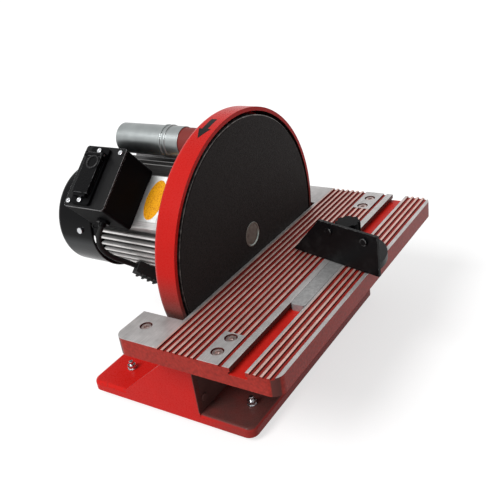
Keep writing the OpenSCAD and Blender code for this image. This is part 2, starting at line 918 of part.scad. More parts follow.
module at_box(z) {
  at_switch() translate([0, box_y + box_w / 2, z]) children();
}

// Two cover screws, at opposite corners of the box
module at_cover_screws() {
  for (end = [-1, 1])
    translate([end * (box_l / 2 - plate_screw_inset), end * (plate_screw_inset - box_w / 2), 0]) children();
}

module switch_box() {
  color(black_paint) at_box(pad_stand) difference() {
    union() {
      difference() {
        linear_extrude(box_depth) box_outline(0);
        translate([0, 0, box_wall]) linear_extrude(box_depth) box_outline(box_wall);
      }
      at_cover_screws() cylinder(d = 2 * plate_screw_inset - over, h = box_depth);
    }
    at_cover_screws() translate([0, 0, box_depth - cover_screw_l])
      cylinder(d = m4_d + 2 * slip, h = cover_screw_l + over);
    translate([-box_l / 2 - over, gland_shift, gland_z])
      along_x() cylinder(d = gland_d / 2, h = box_wall + 2 * over);
    translate([0, box_w / 2 - box_wall - over, gland_z])
      along_y() cylinder(d = gland_d / 2, h = box_wall + 2 * over);
  }
}

module switch_cover() {
  color(black_paint) at_box(cover_plate_z) difference() {
    linear_extrude(cover_plate_t) box_outline(0);
    translate([-block_l / 2 - fit, switch_shift - block_w / 2 - fit, -over])
      cube([block_l + 2 * fit, block_w + 2 * fit, cover_plate_t + 2 * over]);
    at_cover_screws() translate([0, 0, -over]) cylinder(d = m4_d + 2 * slip, h = cover_plate_t + 2 * over);
    for (x = [-1, 1]) translate([x * bezel_screw_x, switch_shift, -over])
      cylinder(d = m4_d + 2 * slip, h = cover_plate_t + 2 * over);
  }
}

module switch_cover_screws() {
  color(steel) at_box(plate_face_z) at_cover_screws()
    pan_screw(m4_d, cover_screw_l, m4_head_d, m4_head_h);
}

// Switch place on the cover, its middle at zero and its height from the motor axis
module at_block(z) {
  at_switch() translate([0, switch_y, z]) children();
}

module switch_block() {
  color(black_paint) difference() {
    union() {
      at_block(plate_face_z) linear_extrude(bezel_h) rounded_rect(bezel_l, bezel_w, box_corner_r);
      at_block(plate_face_z - block_depth) translate([-block_l / 2, -block_w / 2, 0])
        cube([block_l, block_w, block_depth + over]);
      for (y = [-1, 1]) at_block(bezel_face_z - over)
        translate([flap_hinge_x - hinge_r, y * (flap_w / 2 + fit + hinge_lug_w / 2) - hinge_lug_w / 2, 0])
          cube([2 * hinge_r, hinge_lug_w, hinge_z - bezel_face_z + hinge_r + over]);
      at_block(bezel_face_z - over) translate([flap_hinge_x - flap_l - latch_l - fit, -latch_w / 2, 0])
        cube([latch_l, latch_w, latch_h + over]);
    }
    for (x = [stop_x, start_x]) at_block(plate_face_z - button_stem)
      translate([x - button_l / 2 - fit, -button_w / 2 - fit, 0])
        cube([button_l + 2 * fit, button_w + 2 * fit, button_stem + bezel_h + over]);
    at_block(hinge_z) translate([flap_hinge_x, -bezel_w, 0])
      along_y() cylinder(d = hinge_pin_d + 2 * slip, h = 2 * bezel_w);
    for (x = [-1, 1]) at_block(plate_face_z - over) translate([x * bezel_screw_x, 0, 0])
      cylinder(d = m4_d + 2 * slip, h = bezel_h + 2 * over);
  }
}

module switch_block_screws() {
  color(steel) for (x = [-1, 1]) at_block(bezel_face_z) translate([x * bezel_screw_x, 0, 0])
    pan_screw(m4_d, bezel_h + cover_plate_t, m4_head_d, m4_head_h);
}

module button(x) {
  at_block(plate_face_z - button_stem + button_travel + fit)
    translate([x - button_l / 2, -button_w / 2, 0])
      cube([button_l, button_w, button_face_z - plate_face_z + button_stem - button_travel - fit]);
}

module start_button() {
  color(green) button(start_x);
}

module stop_button() {
  color(stop_red) button(stop_x);
}

module stop_flap() {
  color(black_paint) difference() {
    union() {
      at_block(flap_under_z) translate([flap_hinge_x - flap_l, -flap_w / 2, 0])
        cube([flap_l, flap_w, flap_t]);
      at_block(hinge_z) translate([flap_hinge_x, -flap_w / 2, 0]) along_y() cylinder(r = hinge_r, h = flap_w);
      for (y = [-1, 1]) at_block(flap_under_z - flap_lip + over)
        translate([flap_hinge_x - flap_l, y * (flap_w / 2 - hinge_lug_w / 2) - hinge_lug_w / 2, 0])
          cube([flap_l - 2 * hinge_r, hinge_lug_w, flap_lip]);
    }
    at_block(hinge_z) translate([flap_hinge_x, -bezel_w, 0])
      along_y() cylinder(d = hinge_pin_d + 2 * slip, h = 2 * bezel_w);
  }
}

module flap_pin() {
  pin_l = flap_w + 2 * fit + 2 * hinge_lug_w;
  color(steel) at_block(hinge_z) translate([flap_hinge_x, -pin_l / 2, 0])
    along_y() cylinder(d = hinge_pin_d, h = pin_l);
}

// Cable gland: a threaded tail, a hexagon and a round cap
module gland() {
  difference() {
    union() {
      translate([0, 0, -box_wall]) cylinder(d = gland_d / 2 - 2 * slip, h = box_wall + over);
      hexagon(gland_d, gland_nut_h);
      cylinder(d = gland_d - 2 * box_wall, h = gland_l);
    }
    translate([0, 0, gland_nut_h]) cylinder(d = lead_d + 2 * slip, h = gland_l);
  }
}

module box_gland() {
  color(rubber_black) at_box(pad_stand + gland_z)
    translate([-box_l / 2, gland_shift, 0]) rotate([0, -90, 0]) gland();
}

module inlet_gland() {
  color(rubber_black) at_box(pad_stand + gland_z) translate([0, box_w / 2, 0]) along_y() gland();
}

// Clamp block frame: X out from the motor, Y back along the lead
module at_clamp() {
  rotate_on_axis(clamp_angle) translate([0, clamp_y, axis_z]) rotate([-clamp_turn, 0, 0]) children();
}

module lead_clamp() {
  color(rubber_black) difference() {
    union() {
      at_clamp() translate([fin_r, -clamp_l / 2, -clamp_w / 2]) cube([clamp_stand, clamp_l, clamp_w]);
      for (i = [0:clamp_rib_count - 1])
        at_clamp() translate([fin_r + clamp_stand - over, -clamp_l / 2, -clamp_w / 2])
          translate([0, i * clamp_l / clamp_rib_count, 0]) cube([clamp_rib_t + over, clamp_rib_t, clamp_w]);
    }
    at_clamp() translate([fin_r + lead_over, clamp_l / 2 - clamp_grip, 0])
      along_y() cylinder(d = lead_d + 2 * slip, h = clamp_grip + over);
  }
}

module motor_lead() {
  rings = len(lead_points);
  points = [for (i = [0:rings - 1]) each lead_ring(i)];
  sides = [
    for (i = [0:rings - 2], k = [0:lead_sides - 1], half = [0, 1])
      let (a = i * lead_sides + k, b = i * lead_sides + (k + 1) % lead_sides)
        half == 0 ? [a, a + lead_sides, b + lead_sides] : [a, b + lead_sides, b]
  ];
  first = [for (k = [0:lead_sides - 1]) k];
  last = [for (k = [lead_sides - 1:-1:0]) (rings - 1) * lead_sides + k];
  color(rubber_black) translate([0, 0, axis_z]) polyhedron(points, concat(sides, [first, last]));
}

// Plan of the table inside an even margin, before its notch
module table_plan(margin) {
  depth = ear_back_y - table_front_y - 2 * margin;
  translate([0, (ear_back_y + table_front_y) / 2])
    rounded_rect(table_l - 2 * margin, depth, table_corner_r - margin);
}

module notch_plan() {
  translate([-notch_half, notch_y]) square([2 * notch_half, ear_l + over]);
}

module at_table_screws() {
  for (s = [-1, 1]) {
    for (i = [0, 1])
      let (x = table_l / 2 - pad_screw_inset - i * pad_screw_step)
        translate([s * x, notch_y - pad_screw_place, table_top]) children();
    translate([s * (table_l / 2 - ear_screw_inset), notch_y + ear_screw_place, table_top]) children();
  }
}

// Whether a groove at this place would run into the end pads
function beside_pads(place) = place > end_pad_first && place < end_pad_first + end_pad_l - groove_w;

// One groove along the table
module groove(place, l) {
  translate([-l / 2, notch_y - place - groove_w / 2, table_top - groove_depth])
    cube([l, groove_w, groove_depth + over]);
}

module table() {
  full_l = table_l + 2 * over;
  short_l = table_l - 2 * end_pad_w;
  color(red_paint) difference() {
    union() {
      translate([0, 0, table_under]) linear_extrude(table_plate_t) difference() {
        table_plan(0);
        notch_plan();
      }
      translate([0, 0, table_top - table_t]) linear_extrude(table_t) difference() {
        table_plan(0);
        table_plan(skirt_w);
        notch_plan();
      }
      translate([-table_l / 2 + skirt_w / 2, slot_y - slot_w / 2 - slot_rim, slot_under])
        cube([table_l - skirt_w, slot_w + 2 * slot_rim, slot_floor + over]);
      for (p = rib_places_shares)
        translate([p * table_l - rib_w / 2, table_front_y + skirt_w / 2, table_under - rib_h])
          cube([rib_w, table_reach - rib_back, rib_h + over]);
    }
    for (i = [0:groove_count - 1])
      let (place = first_groove + i * groove_pitch)
        groove(place, beside_pads(place) ? short_l : full_l);
    for (i = [0:front_groove_count - 1]) groove(slot_centre + front_groove + i * groove_pitch, full_l);
    translate([-full_l / 2, slot_y - slot_w / 2, table_top - slot_depth])
      cube([full_l, slot_w, slot_depth + over]);
    translate([-full_l / 2, slot_y - slot_w / 2 - slot_step, table_top - slot_depth])
      cube([full_l, slot_w + 2 * slot_step, slot_step_h]);
    translate([-notch_half, 0, 0]) side_profile(2 * notch_half) polygon([
      [notch_y + over, table_top - notch_land],
      [notch_y, table_top - notch_land],
      [notch_y - (table_plate_t - notch_land + over) * notch_chamfer_share, table_under - over],
      [notch_y + over, table_under - over]
    ]);
    at_table_screws() {
      translate([0, 0, -table_plate_t - over])
        cylinder(d = table_screw_d + 2 * slip, h = table_plate_t + 2 * over);
      translate([0, 0, -table_head_h - table_sink])
        cylinder(d = table_sink_d, h = table_head_h + table_sink + over);
    }
  }
}

// Arc slot of a trunnion, long enough for the whole tilt
module arc_slot() {
  w = pin_d + 2 * fit;
  first = pin_angles[0] - tilt_max - slot_end_angle;
  last = pin_angles[1] + slot_end_angle;
  reach = 2 * pin_r;
  translate([pivot_y, pivot_z]) intersection() {
    difference() {
      circle(pin_r + w / 2);
      circle(pin_r - w / 2);
    }
    polygon([
      [0, 0],
      for (i = [0:4]) let (a = first + i * (last - first) / 4) [-reach * cos(a), -reach * sin(a)]
    ]);
  }
  for (a = [first, last]) translate(tilt_point(pin_r, a)) circle(d = w);
}

module trunnion() {
  front = notch_y - pad_screw_place - front_pad_l / 2;
  rear = notch_y + ear_screw_place + rear_pad_l / 2;
  difference() {
    union() {
      translate([trunnion_x, 0, 0]) side_profile(trunnion_t) difference() {
        union() {
          intersection() {
            translate([pivot_y, pivot_z]) circle(trunnion_r);
            translate([pivot_y - trunnion_r, pivot_z - 2 * trunnion_r])
              square([2 * trunnion_r, 2 * trunnion_r - table_plate_t]);
          }
          translate([front, table_under - trunnion_strip]) square([rear - front, trunnion_strip]);
        }
        arc_slot();
      }
      translate([table_l / 2 - pad_edge - front_pad_w, front, table_under - pad_t])
        cube([front_pad_w, front_pad_l, pad_t]);
      translate([trunnion_x, notch_y + ear_screw_place - rear_pad_l / 2, table_under - pad_t])
        cube([rear_pad_w, rear_pad_l, pad_t]);
    }
    at_table_screws() translate([0, 0, -table_plate_t - pad_t - over])
      cylinder(d = table_screw_d + 2 * slip, h = pad_t + 2 * over);
  }
}

module trunnions() {
  color(lamination) for (m = [0, 1]) mirror([m, 0, 0]) trunnion();
}

module table_screws() {
  color(steel) at_table_screws() {
    translate([0, 0, -table_head_h - table_sink]) cylinder(d = table_head_d, h = table_head_h);
    translate([0, 0, -table_plate_t - pad_t])
      cylinder(d = table_screw_d, h = table_plate_t + pad_t - table_head_h - table_sink);
  }
}

// Guide pin from the side wall through the trunnion slot, with its head outside
module guide_pin(a) {
  shank = wall_t + 2 * trunnion_gap + trunnion_t;
  translate([base_w / 2 - wall_t, tilt_point(pin_r, a)[0], tilt_point(pin_r, a)[1]]) along_x() {
    cylinder(d = pin_d, h = shank);
    translate([0, 0, shank]) cylinder(d = pin_head_d, h = pin_head_h);
  }
}

module guide_pins() {
  color(steel) {
    for (a = pin_angles) mirror([1, 0, 0]) guide_pin(a);
    guide_pin(pin_angles[1]);
  }
}

// Round grip with shallow finger hollows
module grip(d, h, count) {
  difference() {
    cylinder(d = d, h = h);
    for (i = [0:count - 1]) rotate([0, 0, i * 360 / count]) translate([d / 2 + d * grip_share / 4, 0, -over])
      cylinder(d = d * grip_share, h = h + 2 * over);
  }
}

module tilt_lock_knob() {
  shank = wall_t + 2 * trunnion_gap + trunnion_t;
  color(rubber_black)
    translate([base_w / 2 - wall_t, tilt_point(pin_r, pin_angles[0])[0], tilt_point(pin_r, pin_angles[0])[1]])
      along_x() {
        cylinder(d = pin_d, h = shank + over);
        translate([0, 0, shank]) cylinder(d = pin_head_d, h = lock_washer_t + over);
        translate([0, 0, shank + lock_washer_t]) grip(lock_knob_d, lock_knob_h, grip_count);
      }
}

module mitre_bar() {
  color(steel) difference() {
    translate([-bar_front + bar_l / 2, slot_y, bar_top - bar_h])
      linear_extrude(bar_h) rounded_rect(bar_l, bar_w, bar_nose_r);
    translate([mitre_x, slot_y, bar_top - bar_h - over])
      cylinder(d = pivot_d + 2 * slip, h = bar_h + 2 * over);
    translate([mitre_x + arc_slot_r, slot_y, bar_top - bar_h - over])
      cylinder(d = knob_stud_d + 2 * slip, h = bar_h + 2 * over);
  }
}

// Mitre gauge at its pivot on the bar, the fence square to X before the swing
module at_mitre() {
  translate([mitre_x, slot_y, table_top + head_clear]) children();
}

module swung() {
  at_mitre() rotate([0, 0, mitre_angle]) children();
}

module mitre_head() {
  color(black_paint) swung() difference() {
    union() {
      intersection() {
        cylinder(r = head_r, h = head_t);
        translate([-fence_lead, -head_r, 0]) cube([head_r + fence_lead, 2 * head_r, head_t]);
      }
      translate([-fence_lead, -head_web_front, fence_lift])
        cube([head_web_t, head_web_front + head_web_rear, head_web_h]);
    }
    translate([0, 0, -over]) cylinder(d = pivot_d + 2 * slip, h = head_t + 2 * over);
    intersection() {
      difference() {
        translate([0, 0, -over]) cylinder(r = arc_slot_r + arc_slot_w / 2, h = head_t + 2 * over);
        translate([0, 0, -2 * over]) cylinder(r = arc_slot_r - arc_slot_w / 2, h = head_t + 4 * over);
      }
      translate([0, 0, -over]) linear_extrude(head_t + 2 * over) polygon([
        [0, 0],
        for (i = [0:4]) let (a = -arc_slot_half + i * arc_slot_half / 2) 2 * head_r * [cos(a), sin(a)]
      ]);
    }
    for (y = fence_screw_places) translate([-fence_lead - over, y, fence_screw_up])
      along_x() cylinder(d = m5_d + 2 * slip, h = head_web_t + 2 * over);
  }
}

module mitre_pivot() {
  color(steel) at_mitre() {
    translate([0, 0, -bar_h]) cylinder(d = pivot_d, h = bar_h + head_t + slide_fit);
    translate([0, 0, head_t + slide_fit]) cylinder(d = pivot_head_d, h = pivot_head_h);
  }
}

module fence() {
  color(black_paint) swung() difference() {
    translate([-fence_lead - fence_t, 0, 0]) side_profile(fence_t) polygon([
      [fence_rear - fence_l, fence_lift],
      [fence_rear, fence_lift],
      [fence_rear - fence_bevel, fence_lift + fence_h],
      [fence_rear - fence_l, fence_lift + fence_h]
    ]);
    for (y = fence_screw_places) translate([-fence_lead - fence_t - over, y, fence_screw_up])
      along_x() cylinder(d = m5_d + 2 * slip, h = fence_t + 2 * over);
  }
}

module fence_screws() {
  color(steel) swung() for (y = fence_screw_places) translate([-fence_lead - fence_t, y, fence_screw_up]) {
    along_x() cylinder(d = m5_d, h = fence_t + head_web_t);
    along_x() mirror([0, 0, 1]) cylinder(d = m5_head_d, h = m5_head_h);
  }
}

module mitre_knob() {
  color(rubber_black) at_mitre() translate([arc_slot_r, 0, 0]) {
    translate([0, 0, -bar_h / 2]) cylinder(d = knob_stud_d, h = bar_h / 2 + head_t + over);
    translate([0, 0, head_t + slide_fit]) cylinder(d = knob_neck_d, h = knob_neck_h + over);
    translate([0, 0, head_t + slide_fit + knob_neck_h]) grip(knob_d, knob_h, grip_count);
  }
}

base();
rubber_feet();
foot_studs();
foot_nuts();
disc_housing();
housing_bolts();
lower_guard();
lower_guard_screws();
dust_tube();
motor_flange();
flange_bolts();
stator_housing();
stator_core();
windings();
rear_shield();
tie_rods();
front_bearing();
rear_bearing();
fan_cover();
fan_cover_screws();
rating_plate();
motor_shaft();
shaft_key();
rotor_core();
cooling_fan();
disc_plate();
abrasive_disc();
centre_cap();
switch_box();
switch_cover();
switch_cover_screws();
switch_block();
switch_block_screws();
start_button();
stop_button();
stop_flap();
flap_pin();
box_gland();
inlet_gland();
lead_clamp();
motor_lead();
table();
trunnions();
table_screws();
guide_pins();
tilt_lock_knob();
mitre_bar();
mitre_head();
mitre_pivot();
fence();
fence_screws();
mitre_knob();
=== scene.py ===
import bpy
import bmesh
import math
from mathutils import Matrix, Vector
from mathutils.geometry import interpolate_bezier


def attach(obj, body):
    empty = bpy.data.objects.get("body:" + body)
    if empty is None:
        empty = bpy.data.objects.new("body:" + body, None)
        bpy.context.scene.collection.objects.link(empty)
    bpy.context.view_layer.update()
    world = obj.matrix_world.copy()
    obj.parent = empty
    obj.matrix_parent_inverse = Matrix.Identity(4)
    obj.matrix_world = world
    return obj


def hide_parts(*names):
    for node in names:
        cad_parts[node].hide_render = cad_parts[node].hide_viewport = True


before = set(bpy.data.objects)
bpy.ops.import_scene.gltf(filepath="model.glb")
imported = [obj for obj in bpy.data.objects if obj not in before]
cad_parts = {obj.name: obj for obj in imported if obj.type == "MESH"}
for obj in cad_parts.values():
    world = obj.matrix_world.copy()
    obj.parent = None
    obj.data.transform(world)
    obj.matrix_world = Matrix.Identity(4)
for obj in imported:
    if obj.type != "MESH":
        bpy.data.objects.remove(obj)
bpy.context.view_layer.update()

# The view: a camera above the left end of the table, looking down across the disc to the motor.
# The machine stands on plain white paper, under a soft lamp behind it on the left and a paler sky there.
mm = 0.001
eye = Vector((-679.9, -532.5, 584.9)) * mm
look = Vector((0.7231, 0.5183, -0.4566)).normalized()
upward = Vector((0.4541, 0.1414, 0.8797))
rightward = look.cross(upward).normalized()
upward = rightward.cross(look)
camera = bpy.data.cameras.new("camera")
camera.lens = 51.56
camera.sensor_width = 36
camera.clip_start = 0.05
camera_object = bpy.data.objects.new("camera", camera)
turn = Matrix((rightward, upward, -look)).transposed().to_4x4()
camera_object.matrix_world = Matrix.Translation(eye) @ turn
bpy.context.collection.objects.link(camera_object)
bpy.context.scene.camera = camera_object
bpy.context.scene.view_settings.view_transform = "Standard"

lamp_way = Vector((0.66, -0.22, -0.72))
lamp = bpy.data.lights.new("back_left_lamp", "SUN")
lamp.energy = 2.3
lamp.angle = math.radians(26)
lamp_object = bpy.data.objects.new("back_left_lamp", lamp)
lamp_object.rotation_euler = lamp_way.to_track_quat("-Z", "Y").to_euler()
bpy.context.collection.objects.link(lamp_object)


def backdrop_rays(tree):
    """One where the backdrop is seen by the camera, in a reflection or through glass, else nought."""
    rays = tree.nodes.new("ShaderNodeLightPath")
    seen = tree.nodes.new("ShaderNodeMath")
    seen.operation = "MAXIMUM"
    seen_through = tree.nodes.new("ShaderNodeMath")
    seen_through.operation = "MAXIMUM"
    tree.links.new(rays.outputs["Is Camera Ray"], seen.inputs[0])
    tree.links.new(rays.outputs["Is Glossy Ray"], seen.inputs[1])
    tree.links.new(seen.outputs[0], seen_through.inputs[0])
    tree.links.new(rays.outputs["Is Transmission Ray"], seen_through.inputs[1])
    return seen_through.outputs[0]


sky_pale = 0.7
sky_dim = 0.16
world = bpy.data.worlds.new("studio")
bpy.context.scene.world = world
world.use_nodes = True
sky = world.node_tree
sky.nodes["Background"].inputs["Color"].default_value = (1, 1, 1, 1)
sky_way = sky.nodes.new("ShaderNodeTexCoord")
facing = sky.nodes.new("ShaderNodeVectorMath")
facing.operation = "DOT_PRODUCT"
facing.inputs[1].default_value = -lamp_way.normalized()
shading = sky.nodes.new("ShaderNodeMapRange")
shading.inputs["From Min"].default_value = -0.6
shading.inputs["To Min"].default_value = sky_dim
shading.inputs["To Max"].default_value = sky_pale
strength = sky.nodes.new("ShaderNodeMix")
strength.inputs["B"].default_value = 1.0
sky.links.new(sky_way.outputs["Generated"], facing.inputs[0])
sky.links.new(facing.outputs["Value"], shading.inputs["Value"])
sky.links.new(backdrop_rays(sky), strength.inputs["Factor"])
sky.links.new(shading.outputs[0], strength.inputs["A"])
sky.links.new(strength.outputs[0], sky.nodes["Background"].inputs["Strength"])

floor_half = 12
bm = bmesh.new()
bmesh.ops.create_grid(bm, x_segments=1, y_segments=1, size=floor_half)
floor_mesh = bpy.data.meshes.new("floor")
bm.to_mesh(floor_mesh)
bm.free()
floor = bpy.data.objects.new("floor", floor_mesh)
bpy.context.collection.objects.link(floor)
floor_paper = bpy.data.materials.new("floor_paper")
floor_paper.use_nodes = True
paper_glow_strength = 0.66
paper_tree = floor_paper.node_tree
paper = paper_tree.nodes["Principled BSDF"].inputs
paper["Base Color"].default_value = (0.42, 0.42, 0.42, 1)
paper["Roughness"].default_value = 0.9
paper["Specular IOR Level"].default_value = 0.0
paper["Emission Color"].default_value = (1, 1, 1, 1)
paper_glow = paper_tree.nodes.new("ShaderNodeMath")
paper_glow.operation = "MULTIPLY"
paper_glow.inputs[1].default_value = paper_glow_strength
paper_tree.links.new(backdrop_rays(paper_tree), paper_glow.inputs[0])
paper_tree.links.new(paper_glow.outputs[0], paper["Emission Strength"])
floor_mesh.materials.append(floor_paper)


# The base is one iron casting: a flat plate with two side walls and a cross web, under red gloss enamel.
# Its foundry skin shows faintly through the paint, which is thin along the corners.
# Painted shade: the plate is darker towards the front, and under the front of the table the plate and walls
# are painted near black in slow drifts as the table's shadow.
def solid(node):
    """A merged copy of a solid, with each flat face whole."""
    flat_angle = math.radians(0.4)
    bm = bmesh.new()
    bm.from_mesh(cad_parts[node].data)
    bmesh.ops.remove_doubles(bm, verts=bm.verts, dist=0.01 * mm)
    bmesh.ops.dissolve_limit(bm, angle_limit=flat_angle, verts=bm.verts, edges=bm.edges)
    return bm


def eased(bm, edges, width, segments=2, clamped=True):
    """Rounds some edges and marks the rounded faces in an edge attribute, for paint wear and painted
    highlights.
    """
    edge = bm.loops.layers.float.get("edge") or bm.loops.layers.float.new("edge")
    result = bmesh.ops.bevel(bm, geom=edges, offset=width * mm, offset_type="OFFSET", segments=segments,
                             profile=0.5, affect="EDGES", clamp_overlap=clamped, material=-1)
    for face in result["faces"]:
        for corner in face.loops:
            corner[edge] = 1.0


def sharp_edges(bm, angle=28):
    """The edges of a mesh that turn by more than an angle."""
    return [e for e in bm.edges if e.is_manifold and e.calc_face_angle() > math.radians(angle)]


def finished(name, bm, body, node=None):
    """Turns a bmesh into a piece on its body, shaded smooth up to a crease with its flats kept flat."""
    crease = math.radians(32)
    speck_size = 0.002 * mm
    bmesh.ops.remove_doubles(bm, verts=bm.verts, dist=speck_size)
    bmesh.ops.dissolve_degenerate(bm, edges=bm.edges, dist=speck_size)
    mesh = bpy.data.meshes.new(name)
    bm.to_mesh(mesh)
    bm.free()
    mesh.shade_smooth()
    mesh.set_sharp_from_angle(angle=crease)
    piece = bpy.data.objects.new(name, mesh)
    bpy.context.collection.objects.link(piece)
    flats = piece.modifiers.new("flats", "WEIGHTED_NORMAL")
    flats.keep_sharp = True
    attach(piece, body)
    if node:
        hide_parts(node)
    return piece


def softened(name, node, body, width, segments=2):
    """A copy of a solid with its sharp edges rounded."""
    bm = solid(node)
    eased(bm, sharp_edges(bm), width, segments)
    return finished(name, bm, body, node)


def group(name, inputs, outputs):
    """A shader node group with float or colour sockets."""
    tree = bpy.data.node_groups.new(name, "ShaderNodeTree")
    for label, kind, value in inputs:
        socket = tree.interface.new_socket(label, in_out="INPUT", socket_type="NodeSocket" + kind)
        socket.default_value = value
    for label, kind in outputs:
        tree.interface.new_socket(label, in_out="OUTPUT", socket_type="NodeSocket" + kind)
    return tree, tree.nodes.new("NodeGroupInput"), tree.nodes.new("NodeGroupOutput")


def add(tree, kind, values=None, **settings):
    """A node with its settings, and values or links for its inputs."""
    made = tree.nodes.new("ShaderNode" + kind)
    for key, value in settings.items():
        setattr(made, key, value)
    for key, value in (values or {}).items():
        if isinstance(value, bpy.types.NodeSocket):
            tree.links.new(value, made.inputs[key])
        else:
            made.inputs[key].default_value = value
    return made


def mix(tree, factor, first, second):
    """A colour between two others."""
    made = add(tree, "Mix", data_type="RGBA")
    for index, value in ((0, factor), (6, first), (7, second)):
        if isinstance(value, bpy.types.NodeSocket):
            tree.links.new(value, made.inputs[index])
        else:
            made.inputs[index].default_value = value
    return made.outputs[2]


def finish(name, **settings):
    """A material with its shader, whose even values are set on the shader itself."""
    material = bpy.data.materials.new(name)
    material.use_nodes = True
    tree = material.node_tree
    shader = tree.nodes["Principled BSDF"]
    for key, value in settings.items():
        shader.inputs[key.replace("_", " ")].default_value = value
    return material, tree, shader


# Slow drifts of tone and a fine grain, used by every paint, plastic and metal on the machine
grain, g_in, g_out = group(
    "surface_grain",
    [("Scale", "Float", 60.0), ("Fine Scale", "Float", 900.0), ("Drift", "Float", 0.1)],
    [("Tone", "Float"), ("Fine", "Float"), ("Height", "Float")])
place = add(grain, "TexCoord")
broad = add(grain, "TexNoise", {"Vector": place.outputs["Object"], "Scale": g_in.outputs["Scale"],
                               "Detail": 5.0, "Roughness": 0.55})
fine = add(grain, "TexNoise", {"Vector": place.outputs["Object"], "Scale": g_in.outputs["Fine Scale"],
                              "Detail": 2.0})
centred = add(grain, "Math", {0: broad.outputs[0], 1: 0.5}, operation="SUBTRACT")
spread = add(grain, "Math", {0: centred.outputs[0], 1: g_in.outputs["Drift"]}, operation="MULTIPLY")
tone = add(grain, "Math", {0: spread.outputs[0], 1: 1.0}, operation="ADD")
both = add(grain, "Math", {0: broad.outputs[0], 1: 0.6, 2: fine.outputs[0]}, operation="MULTIPLY_ADD")
grain.links.new(tone.outputs[0], g_out.inputs["Tone"])
grain.links.new(fine.outputs[0], g_out.inputs["Fine"])
grain.links.new(both.outputs[0], g_out.inputs["Height"])

# Edge marks: the edge attribute broken up by a noise, so that only parts of an edge take the edge colour,
# which is wear on most finishes and a painted highlight on the switch cover, the flap and the mitre gauge.
worn_and_lit_edges, r_in, r_out = group("worn_and_lit_edge", [("Amount", "Float", 0.5), ("Scale", "Float", 180.0)],
                         [("Mask", "Float")])
edge_value = add(worn_and_lit_edges, "Attribute", attribute_name="edge")
edge_place = add(worn_and_lit_edges, "TexCoord")
edge_noise = add(worn_and_lit_edges, "TexNoise", {"Vector": edge_place.outputs["Object"], "Scale": r_in.outputs["Scale"],
                                  "Detail": 4.0})
edge_break = add(worn_and_lit_edges, "Math", {0: edge_value.outputs["Fac"], 1: edge_noise.outputs[0]}, operation="MULTIPLY")
threshold = add(worn_and_lit_edges, "Math", {0: 1.0, 1: r_in.outputs["Amount"]}, operation="SUBTRACT")
bare = add(worn_and_lit_edges, "Math", {0: threshold.outputs[0], 1: 0.2}, operation="ADD")
edge_step = add(worn_and_lit_edges, "MapRange", {"Value": edge_break.outputs[0], "From Min": threshold.outputs[0],
                                 "From Max": bare.outputs[0]})
worn_and_lit_edges.links.new(edge_step.outputs[0], r_out.inputs["Mask"])


def use(tree, source, **values):
    """Places a node group in a material with its own values."""
    made = tree.nodes.new("ShaderNodeGroup")
    made.node_tree = source
    for key, value in values.items():
        made.inputs[key.replace("_", " ")].default_value = value
    return made


def toned(tree, colour, tone_socket):
    """A colour made lighter or darker by a tone around one."""
    made = add(tree, "VectorMath", operation="SCALE")
    if isinstance(colour, bpy.types.NodeSocket):
        tree.links.new(colour, made.inputs[0])
    else:
        made.inputs[0].default_value = colour[:3]
    tree.links.new(tone_socket, made.inputs["Scale"])
    return made.outputs[0]


def roughened(tree, shader, fine, spread, middle):
    """Varies the roughness of a shader by a spread around its middle."""
    rough = add(tree, "Math", {0: fine, 1: spread, 2: middle - spread / 2}, operation="MULTIPLY_ADD")
    tree.links.new(rough.outputs[0], shader.inputs["Roughness"])


def bumped(tree, shader, height, strength, distance):
    """Raises the surface of a shader by a height."""
    made = add(tree, "Bump", {"Height": height, "Strength": strength, "Distance": distance})
    tree.links.new(made.outputs[0], shader.inputs["Normal"])


def enamel(name, colour, wear_and_highlight, roughness=0.28, peel=0.25, amount=0.42, drift=0.16, shine=0.08):
    """Gloss enamel over a casting or sheet, thin along its edges, where the edge colour is paint wear on
    most and a painted highlight on the switch cover, flap and mitre gauge.
    """
    material, tree, shader = finish(name, Specular_IOR_Level=shine)
    skin = use(tree, grain, Scale=45.0, Fine_Scale=700.0, Drift=drift)
    wear_and_highlight_mask = use(tree, worn_and_lit_edges, Amount=amount, Scale=240.0)
    shade = toned(tree, colour, skin.outputs["Tone"])
    tree.links.new(mix(tree, wear_and_highlight_mask.outputs["Mask"], shade, wear_and_highlight), shader.inputs["Base Color"])
    roughened(tree, shader, skin.outputs["Fine"], spread=0.14, middle=roughness)
    bumped(tree, shader, skin.outputs["Height"], strength=peel, distance=0.0004)
    return material


def dressed(piece, *materials):
    """Gives a piece its finishes."""
    for material in materials:
        piece.data.materials.append(material)
    return piece


def between(tree, value, edge_from, edge_to):
    """A mask that goes from nought to one as a value passes between two edges."""
    return add(tree, "MapRange", {"Value": value, "From Min": edge_from, "From Max": edge_to}).outputs[0]


def zone(tree, place, edges):
    """A mask that goes from nought to one between two places along an axis, in millimetres."""
    return between(tree, place, edges[0] * mm, edges[1] * mm)


def both_masks(tree, first, second):
    """The overlap of two masks."""
    return add(tree, "Math", {0: first, 1: second}, operation="MULTIPLY").outputs[0]


def either_mask(tree, first, second):
    """The union of two masks."""
    return add(tree, "Math", {0: first, 1: second}, operation="MAXIMUM").outputs[0]


def strip(tree, place, first_edges, last_edges):
    """A mask that is one on a strip between two soft edges, in millimetres along an axis."""
    return both_masks(tree, zone(tree, place, first_edges), zone(tree, place, last_edges))


def places(tree):
    """The three coordinates of a piece."""
    return add(tree, "SeparateXYZ", {0: add(tree, "TexCoord").outputs["Object"]}).outputs


def stained(material, mask, stain):
    """Lays a stain over the colour of a finish where a mask is one."""
    tree = material.node_tree
    colour = tree.nodes["Principled BSDF"].inputs["Base Color"]
    tree.links.new(mix(tree, mask, colour.links[0].from_socket, stain), colour)


